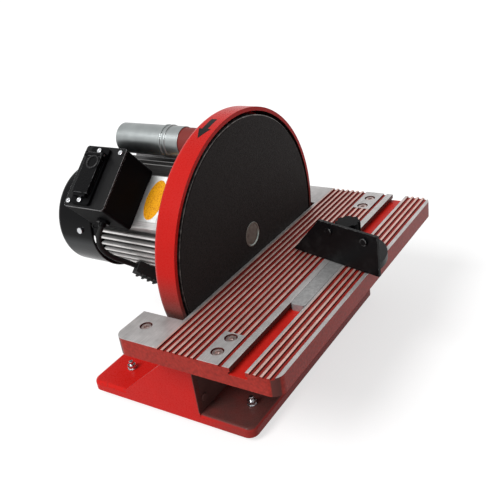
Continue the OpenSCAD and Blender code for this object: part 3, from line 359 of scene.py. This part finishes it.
worn_red = (0.2, 0.03, 0.025, 1)
red_enamel = enamel("red_enamel", (0.5, 0.013, 0.01), worn_red)
base_enamel = enamel("base_enamel", (0.54, 0.012, 0.009), worn_red)
shade_off_ends = (174.2, 173)
shade_off_front = (-134.8, -133.5)
shade_off_rim = (18.5, 20.5)
shade_on_walls = (22.5, 23.5)
shade_from_web = (-58.5, -59.5)
shade_to_front = (-50, -110)
shade_strength = 0.9
tree = base_enamel.node_tree
x, y, z = places(tree)
aside = add(tree, "Math", {0: x}, operation="ABSOLUTE").outputs[0]
off_sides = both_masks(tree, zone(tree, aside, shade_off_ends), zone(tree, y, shade_off_front))
off_rim = both_masks(tree, off_sides, zone(tree, z, shade_off_rim))
shade_area = either_mask(tree, off_rim, zone(tree, z, shade_on_walls))
under_table_shade = both_masks(tree, zone(tree, y, shade_from_web), shade_area)
shade_drift = use(tree, grain, Scale=30.0, Fine_Scale=300.0, Drift=0.6)
shade_share = both_masks(tree, shade_drift.outputs["Tone"], shade_strength)
# Painted shade: darker towards the front, then near black under the table as its shadow.
stained(base_enamel, zone(tree, y, shade_to_front), (0.3, 0.026, 0.022, 1))
stained(base_enamel, both_masks(tree, under_table_shade, shade_share), (0.07, 0.036, 0.032, 1))
plate_top = 22.0
plate_size = Vector((349.9, 255, 14))
plate_middle = Vector((0, -7.8, 15))
plate_corner = 12
plate_edge = 5
wall_root = 8
wall_edge = 1.6
cut_z = plate_top + 0.2
bm = solid("base")
bmesh.ops.bisect_plane(bm, geom=bm.verts[:] + bm.edges[:] + bm.faces[:], plane_co=(0, 0, cut_z * mm),
                       plane_no=(0, 0, 1), clear_inner=True)
roots = bmesh.ops.extrude_edge_only(bm, edges=[e for e in bm.edges if e.is_boundary])
bmesh.ops.translate(bm, vec=(0, 0, -wall_root * mm),
                    verts=[v for v in roots["geom"] if isinstance(v, bmesh.types.BMVert)])
bmesh.ops.holes_fill(bm, edges=[e for e in bm.edges if e.is_boundary])
bmesh.ops.recalc_face_normals(bm, faces=bm.faces)
eased(bm, sharp_edges(bm), wall_edge)
corners = bmesh.ops.create_cube(bm, size=1)["verts"]
bmesh.ops.scale(bm, vec=plate_size * mm, verts=corners)
bmesh.ops.translate(bm, vec=plate_middle * mm, verts=corners)
uprights = {e for v in corners for e in v.link_edges if abs(e.verts[0].co.z - e.verts[1].co.z) > mm}
before = set(bm.verts) - set(corners)
eased(bm, list(uprights), plate_corner, segments=6)
plate_verts = set(bm.verts) - before
top_rim = {e for v in plate_verts for e in v.link_edges if e.calc_face_angle(0) > 1
           and all(abs(w.co.z - plate_top * mm) < mm for w in e.verts)}
eased(bm, list(top_rim), plate_edge, segments=4)
dressed(finished("base_casting", bm, "machine", "base"), base_enamel)


# Four moulded rubber feet under the plate, each on a zinc plated stud with a washer and nut on top.
# The nuts are left bright and stand clear of the paint.
def zinc(name, colour=(0.62, 0.63, 0.65), roughness=0.24, drift=0.3, scale=120.0, bare=1.0):
    """Bright plated or turned steel with faint stains, less bare where it is dull."""
    material, tree, shader = finish(name, Metallic=bare)
    skin = use(tree, grain, Scale=scale, Fine_Scale=1600.0, Drift=drift)
    tree.links.new(toned(tree, colour, skin.outputs["Tone"]), shader.inputs["Base Color"])
    roughened(tree, shader, skin.outputs["Fine"], spread=0.2, middle=roughness)
    bumped(tree, shader, skin.outputs["Fine"], strength=0.12, distance=0.0002)
    return material


def moulded(name, colour, roughness=0.5, peel=0.3, scale=80.0, shine=0.2):
    """Moulded plastic or rubber with a fine spark-eroded grain."""
    material, tree, shader = finish(name, Specular_IOR_Level=shine)
    skin = use(tree, grain, Scale=scale, Fine_Scale=1500.0, Drift=0.35)
    tree.links.new(toned(tree, colour, skin.outputs["Tone"]), shader.inputs["Base Color"])
    roughened(tree, shader, skin.outputs["Fine"], spread=0.2, middle=roughness)
    bumped(tree, shader, skin.outputs["Fine"], strength=peel, distance=0.0003)
    return material


rubber = moulded("foot_rubber", (0.008, 0.008, 0.008), roughness=0.7)
bright_zinc = zinc("bright_zinc")
dressed(softened("foot_pads", "rubber_feet", "machine", width=1.0), rubber)
dressed(softened("foot_stud_ends", "foot_studs", "machine", width=0.8), bright_zinc)
dressed(softened("foot_nuts_and_washers", "foot_nuts", "machine", width=0.5), bright_zinc)


# The disc housing is a spun steel dish with the dust stub welded behind it, all in red enamel.
# The inner wall of its rim is painted near black as shade, and the stub and the rippled weld bead round its
# foot are painted a darker, duller red as shade.
def ring(radius, thickness, placing, steps=96, ripples=0):
    """A round bead on a circle, rippled as a weld is if asked."""
    ripple_share = 0.25
    bm = bmesh.new()
    on_circle = Matrix.Translation((radius * mm, 0, 0)) @ Matrix.Rotation(math.pi / 2, 4, "X")
    rim = bmesh.ops.create_circle(bm, segments=10, radius=thickness * mm, matrix=on_circle)
    bmesh.ops.spin(bm, geom=rim["verts"] + bm.edges[:], cent=(0, 0, 0), axis=(0, 0, 1), angle=math.tau,
                   steps=steps, use_merge=True)
    bmesh.ops.remove_doubles(bm, verts=bm.verts, dist=0.01 * mm)
    for vert in bm.verts:
        if ripples:
            wave = ripple_share * thickness * mm * math.sin(ripples * math.atan2(vert.co.y, vert.co.x))
            vert.co += wave * Vector((vert.co.x, vert.co.y, 0)).normalized()
    bmesh.ops.transform(bm, matrix=placing, verts=bm.verts)
    bmesh.ops.recalc_face_normals(bm, faces=bm.faces)
    return bm


def along_motor(y, z):
    """A placing with its Z along the motor axis, at a place along it and a height."""
    return Matrix.Translation(Vector((0, y, z)) * mm) @ Matrix.Rotation(-math.pi / 2, 4, "X")


axis_z = 180.0
shadow_foot = (100, 140)
shadow_head = (205, 150)
shadow_on_rim = (-20.5, -22.5)
# Painted shadow: the front of the dish is painted dark brown-red about the table's height, as the table's
# shadow on it.
tree = red_enamel.node_tree
x, y, z = places(tree)
table_shadow = strip(tree, z, shadow_head, shadow_foot)
stained(red_enamel, both_masks(tree, table_shadow, zone(tree, y, shadow_on_rim)), (0.09, 0.036, 0.03, 1))
stub_z = 300.0
stub_r = 18.5
stub_foot_z = axis_z + 90
dish_back = -20.8
dish_edge = 1.2
facing_in = 0.9
# Painted shade: a darker, duller red for the stub and its weld, and near black for the inner wall of the
# rim.
stub_shade_red = enamel("stub_shade_red", (0.2, 0.035, 0.03), (0.3, 0.05, 0.04, 1),
                   roughness=0.5, peel=0.4, amount=0.3, drift=0.5, shine=0.1)
shaded_inside_black = enamel("shaded_inside_black", (0.02, 0.008, 0.007), (0.05, 0.02, 0.018, 1),
                      roughness=0.6, peel=0.4, amount=0.3, drift=0.6, shine=0.05)
bm = solid("disc_housing")
eased(bm, sharp_edges(bm), dish_edge)
for face in bm.faces:
    middle = face.calc_center_median() / mm
    if middle.y > dish_back + 1 and abs(middle.x) < 2 * stub_r and middle.z > stub_foot_z:
        face.material_index = 1
    inward = Vector((-middle.x, 0, axis_z - middle.z)).normalized()
    if middle.y < dish_back and face.normal.dot(inward) > facing_in:
        face.material_index = 2
dressed(finished("disc_dish", bm, "machine", "disc_housing"),
        red_enamel, stub_shade_red, shaded_inside_black)
bead_r = 1.6
bead_out = 0.6
bead = ring(stub_r + bead_out, bead_r, along_motor(dish_back, stub_z), steps=120, ripples=30)
dressed(finished("stub_weld", bead, "machine"), stub_shade_red)
shaded_red = enamel("shaded_red", (0.085, 0.036, 0.032), (0.16, 0.045, 0.04, 1),
                    roughness=0.5, peel=0.4, amount=0.3, drift=0.6)
dressed(softened("lower_front_guard", "lower_guard", "machine", width=0.6), shaded_red)
dressed(softened("guard_screws", "lower_guard_screws", "machine", width=0.5), shaded_red)
dressed(softened("dish_bolts", "housing_bolts", "machine", width=0.5), bright_zinc)

# The arrow is a stencilled black mark on the rim, to the left of the top.
# It shows which way the disc turns and has no lettering.
arrow_paint = enamel("arrow_black", (0.006, 0.006, 0.006), (0.05, 0.02, 0.02, 1),
                     roughness=0.4, peel=0.1, amount=0.2)
rim_r = 162.12
arrow_y = -38.0
arrow_span = (math.radians(97.5), math.radians(111.5))
stem_half = 4.0
head_half = 8.5
head_from = 0.55
arrow_thick = 0.2
arrow_outline = ((0, -stem_half), (head_from, -stem_half), (head_from, -head_half), (1, 0),
                 (head_from, head_half), (head_from, stem_half), (0, stem_half))
bm = bmesh.new()
bm.faces.new([bm.verts.new((share, across, 0)) for share, across in arrow_outline])
bmesh.ops.triangulate(bm, faces=bm.faces)
bmesh.ops.subdivide_edges(bm, edges=bm.edges, cuts=3, use_grid_fill=True)
for vert in bm.verts:
    bend = arrow_span[0] + vert.co.x * (arrow_span[1] - arrow_span[0])
    vert.co = Vector((rim_r * math.cos(bend), arrow_y + vert.co.y, axis_z + rim_r * math.sin(bend))) * mm
bmesh.ops.recalc_face_normals(bm, faces=bm.faces)
bmesh.ops.solidify(bm, geom=bm.faces[:], thickness=-arrow_thick * mm)
bmesh.ops.recalc_face_normals(bm, faces=bm.faces)
dressed(finished("turning_arrow", bm, "machine"), arrow_paint)

# The dust tube is rolled steel, slipped over the painted stub and beaded to hold a hose.
# Its zinc is dull and a little streaked along the tube.
tube_steel = zinc("rolled_tube", (0.3, 0.32, 0.32), roughness=0.36, drift=0.5, scale=60.0)
dressed(softened("dust_outlet_tube", "dust_tube", "machine", width=0.5), tube_steel)

# The motor body is an extruded alloy sleeve with lengthwise fins and a flat pad under the switch box.
# The fin tips are bright and the fins are painted darker towards their roots as shade between them, and the
# upper shoulder under the tube is painted dark as its shadow.
fin_root_r = 61.5
fin_tip_r = 68.8
shoulder_from = 64
shoulder_to = 70
alloy, tree, shader = finish("finned_alloy", Metallic=0.6)
skin = use(tree, grain, Scale=70.0, Fine_Scale=1300.0, Drift=0.5)
place = add(tree, "TexCoord")
apart = add(tree, "VectorMath", {0: place.outputs["Object"], 1: (0, 0, axis_z * mm)}, operation="SUBTRACT")
flat = add(tree, "VectorMath", {0: apart.outputs[0], 1: (1, 0, 1)}, operation="MULTIPLY")
radius = add(tree, "VectorMath", {0: flat.outputs[0]}, operation="LENGTH")
# Painted shade: darker towards the fin roots, and dark on the upper shoulder as the tube's shadow.
depth = add(tree, "MapRange", {"Value": radius.outputs["Value"], "From Min": fin_root_r * mm,
                               "From Max": fin_tip_r * mm, "To Min": 0.14, "To Max": 1.0})
height = add(tree, "SeparateXYZ", {0: apart.outputs[0]})
shoulder_shadow = add(tree, "MapRange", {"Value": height.outputs["Z"], "From Min": shoulder_from * mm,
                                  "From Max": shoulder_to * mm, "To Min": 1.0, "To Max": 0.16})
streak_place = add(tree, "Mapping", {"Vector": place.outputs["Object"], "Scale": (900, 18, 900)})
streaks = add(tree, "TexNoise", {"Vector": streak_place.outputs[0], "Scale": 1.0, "Detail": 3.0})
streaky = add(tree, "MapRange", {"Value": streaks.outputs[0], "From Min": 0.25, "From Max": 0.75,
                                 "To Min": 0.62, "To Max": 1.15})
fin_shade = add(tree, "Math", {0: depth.outputs[0], 1: shoulder_shadow.outputs[0]}, operation="MULTIPLY")
streaked = add(tree, "Math", {0: fin_shade.outputs[0], 1: streaky.outputs[0]}, operation="MULTIPLY")
fin_tone = add(tree, "Math", {0: skin.outputs["Tone"], 1: streaked.outputs[0]}, operation="MULTIPLY")
tree.links.new(toned(tree, (0.8, 0.79, 0.78), fin_tone.outputs[0]), shader.inputs["Base Color"])
roughened(tree, shader, skin.outputs["Fine"], spread=0.2, middle=0.36)
bumped(tree, shader, skin.outputs["Fine"], strength=0.15, distance=0.0003)
dressed(softened("finned_sleeve", "stator_housing", "machine", width=0.4), alloy)

# Inside and in front of the sleeve: the iron flange, the stacked core with its windings, and the bearings.
# Little of them shows outside. All but the flange keep their plain machined shapes, as the pins do.
dark_iron = zinc("machined_iron", (0.12, 0.12, 0.125), roughness=0.45)
dressed(softened("motor_front_flange", "motor_flange", "machine", width=0.8), dark_iron)
lamination = zinc("stacked_iron", (0.2, 0.2, 0.22), roughness=0.5, drift=0.5, scale=300.0)
winding = moulded("winding_lacquer", (0.28, 0.09, 0.025), roughness=0.35, peel=0.5, scale=200.0)


def plain(node, material):
    """Gives a solid that keeps its own shape a finish."""
    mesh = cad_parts[node].data
    mesh.materials.clear()
    mesh.materials.append(material)


for node, material in (("stator_core", lamination), ("rotor_core", lamination), ("windings", winding)):
    plain(node, material)
for node in ("front_bearing", "rear_bearing", "flange_bolts", "shaft_key", "motor_shaft", "flap_pin",
             "guide_pins", "mitre_pivot"):
    plain(node, bright_zinc)

# The fan cover is a pressed steel bell in gloss black, screwed to the rear shield, with a rolled mouth.
# The fan inside it is moulded plastic, and the lower half of the bell is painted lighter grey as a
# reflection of the floor.
gloss_black = {"colour": (0.003, 0.003, 0.0035), "wear_and_highlight": (0.03, 0.03, 0.03, 1), "roughness": 0.2,
               "peel": 0.05, "amount": 0.25, "shine": 0.085}
black_enamel = enamel("black_enamel", **gloss_black)
bell_enamel = enamel("bell_enamel", **gloss_black)
bell_floor_reflection = (176, 164)
tree = bell_enamel.node_tree
x, y, z = places(tree)
# Painted reflection: the lower half of the bell is lighter grey, as the floor seen in its gloss.
stained(bell_enamel, zone(tree, z, bell_floor_reflection), (0.045, 0.048, 0.05, 1))
bell_mouth_y = 164.6
bell_r = 71.4
lip_r = 1.7
dressed(softened("fan_bell", "fan_cover", "machine", width=0.5), bell_enamel)
lip = ring(bell_r, lip_r, along_motor(bell_mouth_y, axis_z))
dressed(finished("fan_bell_lip", lip, "machine"), black_enamel)
dressed(softened("fan_bell_screws", "fan_cover_screws", "machine", width=0.8), bright_zinc)
fan_plastic = moulded("fan_plastic", (0.01, 0.01, 0.011), roughness=0.5)
plain("cooling_fan", fan_plastic)
plain("rear_shield", black_enamel)
plain("tie_rods", black_enamel)

# A bare alloy rating plate on the flat pad, with a plain yellow oval sticker on it.
# The sticker is thin vinyl with a darker printed rim and a few rubbed specks.
plate_alloy = zinc("plate_alloy", (0.82, 0.83, 0.82), roughness=0.45, drift=0.25)
dressed(softened("bare_rating_plate", "rating_plate", "machine", width=0.15), plate_alloy)
lean = math.radians(40.4)
slope = Matrix.Translation((0, 0, axis_z * mm)) @ Matrix.Rotation(-lean, 4, "Y")
sticker_half = Vector((28.5, 14, 1))
sticker_place = Vector((2.5, 62.9, 68.75))
sticker_rim = 1.1
sticker_thick = 0.1
rim_share = 0.6
sticker_yellow, tree, shader = finish("sticker_yellow", Roughness=0.45, Specular_IOR_Level=0.2)
place = add(tree, "TexCoord")
specks = add(tree, "TexNoise", {"Vector": place.outputs["Object"], "Scale": 620.0, "Detail": 2.0})
speck_mask = add(tree, "MapRange", {"Value": specks.outputs[0], "From Min": 0.5, "From Max": 0.62,
                                    "To Max": 0.75})
rim_mark = add(tree, "Attribute", attribute_name="rim")
yellow = mix(tree, speck_mask.outputs[0], (0.84, 0.39, 0.005, 1), (0.5, 0.13, 0.004, 1))
rimmed = mix(tree, rim_mark.outputs["Fac"], yellow, (0.62, 0.2, 0.003, 1))
tree.links.new(rimmed, shader.inputs["Base Color"])
bumped(tree, shader, specks.outputs[0], strength=0.1, distance=0.0002)
bm = bmesh.new()
bmesh.ops.create_circle(bm, cap_ends=True, segments=64, radius=1)
bmesh.ops.scale(bm, vec=sticker_half * mm, verts=bm.verts)
rim = bm.loops.layers.float.new("rim")
for face in bmesh.ops.inset_region(bm, faces=bm.faces[:], thickness=sticker_rim * mm)["faces"]:
    for corner in face.loops:
        corner[rim] = rim_share
bmesh.ops.transform(bm, matrix=slope @ Matrix.Translation(sticker_place * mm), verts=bm.verts)
bmesh.ops.solidify(bm, geom=bm.faces[:], thickness=sticker_thick * mm)
dressed(finished("yellow_sticker", bm, "machine"), sticker_yellow)


# The spindle set: an alloy disc plate, the abrasive sheet glued on it and a turned steel cap screw.
# The sheet is dark grit with brown binder, the plate's rim is a thin dull line and the cap is dished.
def socketed(bm, way, rim, depth):
    """Sinks a socket in each screw head that faces a way, inside a rim."""
    square_on = 0.99
    socket_slope = 0.2
    least_sides = 7
    heads = [f for f in bm.faces if f.normal.dot(way) > square_on and len(f.verts) >= least_sides]
    bmesh.ops.inset_individual(bm, faces=heads, thickness=rim * mm)
    bmesh.ops.inset_individual(bm, faces=heads, thickness=socket_slope * mm)
    bmesh.ops.translate(bm, vec=-way * depth * mm, verts=list({v for f in heads for v in f.verts}))


plate_rim = zinc("turned_rim", (0.15, 0.135, 0.13), roughness=0.5, drift=4.0, scale=150.0)
dressed(softened("disc_backing", "disc_plate", "spindle", width=0.6), plate_rim)
grit, tree, shader = finish("abrasive_grit", Specular_IOR_Level=0.15)
skin = use(tree, grain, Scale=9.0, Fine_Scale=700.0, Drift=0.35)
place = add(tree, "TexCoord")
# Painted glint: each grain is lighter towards its middle.
grains = add(tree, "TexVoronoi", {"Vector": place.outputs["Object"], "Scale": 1100.0})
glint = add(tree, "MapRange", {"Value": grains.outputs["Distance"], "From Min": 0.0, "From Max": 0.7,
                               "To Min": 1.7, "To Max": 0.55})
speck = add(tree, "Math", {0: skin.outputs["Tone"], 1: glint.outputs[0]}, operation="MULTIPLY")
tree.links.new(toned(tree, (0.019, 0.0155, 0.015), speck.outputs[0]), shader.inputs["Base Color"])
roughened(tree, shader, skin.outputs["Fine"], spread=0.3, middle=0.7)
bumped(tree, shader, grains.outputs["Distance"], strength=0.6, distance=0.0006)
plain("abrasive_disc", grit)
cap_steel = zinc("cap_steel", (0.29, 0.325, 0.305), roughness=0.35, drift=1.3, scale=150.0)
cap_edge = 0.8
bm = solid("centre_cap")
socketed(bm, Vector((0, -1, 0)), rim=2.2, depth=1)
eased(bm, sharp_edges(bm), cap_edge, segments=3)
dressed(finished("cap_screw", bm, "spindle", "centre_cap"), cap_steel)

# The switch box is a black pressed box with a screwed cover plate.
# A moulded stop switch is let into the plate, under a hinged flap with a round boss.
box_black = enamel("box_black", (0.003, 0.003, 0.0035), (0.12, 0.12, 0.12, 1),
                   roughness=0.6, peel=0.2, amount=0.46, shine=0.035)
# Painted highlight: the cover plate's rounded edges are painted light grey where they catch the light.
cover_black = enamel("cover_black", (0.007, 0.007, 0.0075), (0.62, 0.62, 0.63, 1),
                     roughness=0.3, peel=0.7, amount=0.76, shine=0.13)
switch_black = moulded("switch_black", (0.003, 0.003, 0.0035), roughness=0.3, peel=0.3, shine=0.05)
dressed(softened("pressed_switch_box", "switch_box", "machine", width=1.2), box_black)
dressed(softened("box_cover_plate", "switch_cover", "machine", width=1.2, segments=3),
        cover_black)
dressed(softened("switch_body", "switch_block", "machine", width=0.7), switch_black)
# Painted highlight: the flap's rounded edges are painted lighter grey as a gloss reflection.
paddle_black = enamel("paddle_black", (0.0035, 0.0035, 0.004), (0.16, 0.165, 0.17, 1),
                      roughness=0.26, peel=0.5, amount=0.6, shine=0.06)
dressed(softened("stop_paddle", "stop_flap", "flap", width=1.2, segments=3), paddle_black)
flap_boss = Vector((16, 121, 138.4))
boss_r = 8.5
boss_bead_r = 1.5
boss = ring(boss_r, boss_bead_r, slope @ Matrix.Translation(flap_boss * mm), steps=48)
boss_black = moulded("boss_black", (0.006, 0.006, 0.0065), roughness=0.24, peel=1.0, scale=300.0, shine=0.2)
dressed(finished("stop_paddle_boss", boss, "flap"), boss_black)
green_plastic = moulded("start_green", (0.02, 0.25, 0.06), roughness=0.3)
red_plastic = moulded("stop_red", (0.5, 0.015, 0.012), roughness=0.3)
dressed(softened("start_key", "start_button", "start", width=0.8), green_plastic)
dressed(softened("stop_key", "stop_button", "stop", width=0.8), red_plastic)

off_plate = slope.to_3x3() @ Vector((0, 0, 1))
screw_edge = 0.4
for name, node in (("cover_plate_screws", "switch_cover_screws"),
                   ("switch_body_screws", "switch_block_screws")):
    bm = solid(node)
    socketed(bm, off_plate, rim=2, depth=1.2)
    eased(bm, sharp_edges(bm), screw_edge)
    dressed(finished(name, bm, "machine", node), bright_zinc)

# Two cable glands, the ribbed clamp block under the motor and the black lead from the first gland to it.
# The lead is a rubber sheathed cable, held in the gland at one end and in the block at the other.
dressed(softened("lead_gland", "box_gland", "machine", width=0.5), switch_black)
dressed(softened("supply_gland", "inlet_gland", "machine", width=0.5), switch_black)
dressed(softened("ribbed_clamp_block", "lead_clamp", "machine", width=1.2), rubber)
gland_mouth = slope @ (Vector((-48.5, 112.2, 90)) * mm)
down_slope = slope.to_3x3() @ Vector((-1, 0, 0))
clamp_angle = math.radians(218)
clamp_turn = math.radians(55)
clamp_y = 86.2
clamp_r = 76.5
clamp_half = 17
outward = Vector((math.cos(clamp_angle), 0, math.sin(clamp_angle)))
back_along = Vector((math.sin(clamp_turn) * math.sin(clamp_angle), math.cos(clamp_turn),
                     -math.sin(clamp_turn) * math.cos(clamp_angle)))
clamp_middle = Vector((0, clamp_y, axis_z)) + clamp_r * outward
clamp_mouth = (clamp_middle + clamp_half * back_along) * mm
lead_r = 3.5 * mm
gland_depth = 5 * mm
clamp_depth = 12 * mm
gland_pull = 40 * mm
clamp_pull = 25 * mm
bend_steps = 26
bend_from = gland_mouth + gland_depth * down_slope
lead_line = [gland_mouth] + interpolate_bezier(bend_from, bend_from + gland_pull * down_slope,
                                               clamp_mouth + clamp_pull * back_along, clamp_mouth,
                                               bend_steps)
lead_line.append(clamp_mouth - clamp_depth * back_along)
lead_curve = bpy.data.curves.new("motor_lead_sheath", "CURVE")
lead_curve.dimensions = "3D"
lead_curve.bevel_depth = 1
lead_curve.bevel_resolution = 5
lead_curve.use_fill_caps = True
lead_spline = lead_curve.splines.new("POLY")
lead_spline.points.add(len(lead_line) - 1)
for knot, at in zip(lead_spline.points, lead_line):
    knot.co = (*at, 1)
    knot.radius = lead_r
lead_spline.use_smooth = True
lead = bpy.data.objects.new("motor_lead_sheath", lead_curve)
bpy.context.collection.objects.link(lead)
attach(lead, "machine")
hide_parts("motor_lead")
dressed(lead, rubber)

# The table is a ribbed casting: red enamel all over, then ground bright on the rib tops, pads and strips.
# It sits on two iron tilt arms with sunk screws, and a moulded knob locks the tilt.
table_finish, tree, shader = finish("ground_and_painted_table", Specular_IOR_Level=0.1)
skin = use(tree, grain, Scale=60.0, Fine_Scale=700.0, Drift=0.7)
ground_from = (151, 151.3)
back_ribs = ((-145, -144.5), (-59.5, -60))
front_ribs = ((-206.5, -206), (-177.5, -178))
pads_to_y = (-114, -113.5)
pads_from_x = (166, 165.5)
ends_in = (220.5, 220)
front_in = (-211.8, -210.6)
groove_heights = ((148.7, 149), (151, 150.5))
place = add(tree, "TexCoord")
x, y, z = places(tree)
ground = zone(tree, z, ground_from)
along = add(tree, "Mapping", {"Vector": place.outputs["Object"], "Scale": (30, 1400, 1)})
lines = add(tree, "TexNoise", {"Vector": along.outputs[0], "Scale": 1.0, "Detail": 3.0})
line_tone = add(tree, "MapRange", {"Value": lines.outputs[0], "To Min": 0.7, "To Max": 1.25})
worn_tone = both_masks(tree, line_tone.outputs[0], skin.outputs["Tone"])
aside = add(tree, "Math", {0: x}, operation="ABSOLUTE").outputs[0]
# Painted highlight: the ground rib tops are pinker and lighter than the pads, partly their tint and partly
# a highlight.
between_pads = either_mask(tree, zone(tree, aside, pads_from_x), zone(tree, y, pads_to_y))
behind_slot = both_masks(tree, strip(tree, y, *back_ribs), between_pads)
rib_tint_and_highlight = either_mask(tree, behind_slot, strip(tree, y, *front_ribs))
bare = mix(tree, rib_tint_and_highlight, (0.52, 0.505, 0.5, 1), (0.68, 0.45, 0.4, 1))
metal = toned(tree, bare, worn_tone)
upright = add(tree, "Attribute", attribute_name="upright").outputs["Fac"]
within = both_masks(tree, zone(tree, aside, ends_in), zone(tree, y, front_in))
blotches = use(tree, grain, Scale=25.0, Fine_Scale=300.0, Drift=0.8)
mottle = add(tree, "Math", {0: blotches.outputs["Fine"], 1: 2.0, 2: blotches.outputs["Tone"]},
             operation="MULTIPLY_ADD")
side_paint = toned(tree, (0.165, 0.0135, 0.0095), mottle.outputs[0])
# Painted shade: the shallow groove floors are a darker red than the deep slot floor, and the upright walls
# inside the table are near black, both as shade. The outer sides are a darker, browner red.
groove_shade_band = strip(tree, z, *groove_heights)
floor_paint = mix(tree, groove_shade_band, (0.5, 0.016, 0.011, 1), (0.26, 0.02, 0.015, 1))
groove_paint = toned(tree, floor_paint, skin.outputs["Tone"])
paint = mix(tree, upright, groove_paint, side_paint)
shaded = mix(tree, both_masks(tree, upright, within), paint, (0.1, 0.028, 0.024, 1))
tree.links.new(mix(tree, ground, shaded, metal), shader.inputs["Base Color"])
bare_share = 0.6
tree.links.new(both_masks(tree, ground, bare_share), shader.inputs["Metallic"])
roughened(tree, shader, ground, spread=0.12, middle=0.38)
bumped(tree, shader, skin.outputs["Height"], strength=0.2, distance=0.0003)
table_top = 151.5
rib_edge = 0.8
table_edge = 0.6
corner_angle = 60
least_rib = 15
level = 0.05
steep_from = 0.75
steep_range = 0.4
bm = solid("table")
rib_edges = [e for e in sharp_edges(bm, corner_angle)
             if abs(e.verts[0].co.x - e.verts[1].co.x) > least_rib * mm
             and all(abs(v.co.z - table_top * mm) < level * mm for v in e.verts)]
eased(bm, rib_edges, rib_edge, clamped=False)
eased(bm, sharp_edges(bm, corner_angle), table_edge)
walls = bm.loops.layers.float.new("upright")
for face in bm.faces:
    face.normal_update()
    for corner in face.loops:
        corner[walls] = min(max((steep_from - abs(face.normal.z)) / steep_range, 0), 1)
dressed(finished("ribbed_table", bm, "table_set", "table"), table_finish)
dressed(softened("tilt_arms", "trunnions", "table_set", width=0.8), dark_iron)
sunk_steel = zinc("sunk_screw_steel", (0.5, 0.4, 0.38), roughness=0.4, drift=0.5)
bm = solid("table_screws")
socketed(bm, Vector((0, 0, 1)), rim=3.2, depth=3)
eased(bm, sharp_edges(bm), screw_edge)
dressed(finished("sunk_table_screws", bm, "table_set", "table_screws"), sunk_steel)
knob_plastic = moulded("knob_plastic", (0.002, 0.002, 0.0024), roughness=0.35, peel=0.3, shine=0.03)
dressed(softened("tilt_lock_handle", "tilt_lock_knob", "tilt_lock", width=1.2),
        knob_plastic)

# The mitre gauge: a flat steel bar, a black cast protractor head, a black plate fence and a clamp knob.
# The bar is ground and lies a little below the table top, and the fence is screwed to the head.
bar_steel = zinc("bar_steel", (0.4, 0.4, 0.4), roughness=0.45, drift=0.9, scale=320.0, bare=0.6)
dressed(softened("slot_bar", "mitre_bar", "mitre_slider", width=0.5), bar_steel)
fence_black = enamel("fence_black", (0.0035, 0.0035, 0.004), (0.16, 0.16, 0.16, 1),
                     roughness=0.34, peel=0.3, amount=0.5, shine=0.1)
# Painted sheen: lighter patches on the head and fence stand in for gloss highlights, and their edges are
# painted lighter grey as highlights.
tree = fence_black.node_tree
place = add(tree, "TexCoord")
sheen_patches = add(tree, "TexNoise", {"Vector": place.outputs["Object"], "Scale": 38.0, "Detail": 8.0,
                                "Roughness": 0.7})
stained(fence_black, between(tree, sheen_patches.outputs[0], 0.52, 0.75), (0.015, 0.0155, 0.016, 1))
dressed(softened("protractor_head", "mitre_head", "mitre_gauge", width=0.6), fence_black)
dressed(softened("plate_fence", "fence", "mitre_gauge", width=0.5), fence_black)
dressed(softened("fence_screw_pair", "fence_screws", "mitre_gauge", width=0.8), fence_black)
dressed(softened("clamp_handle", "mitre_knob", "mitre_clamp", width=1.6, segments=3),
        knob_plastic)
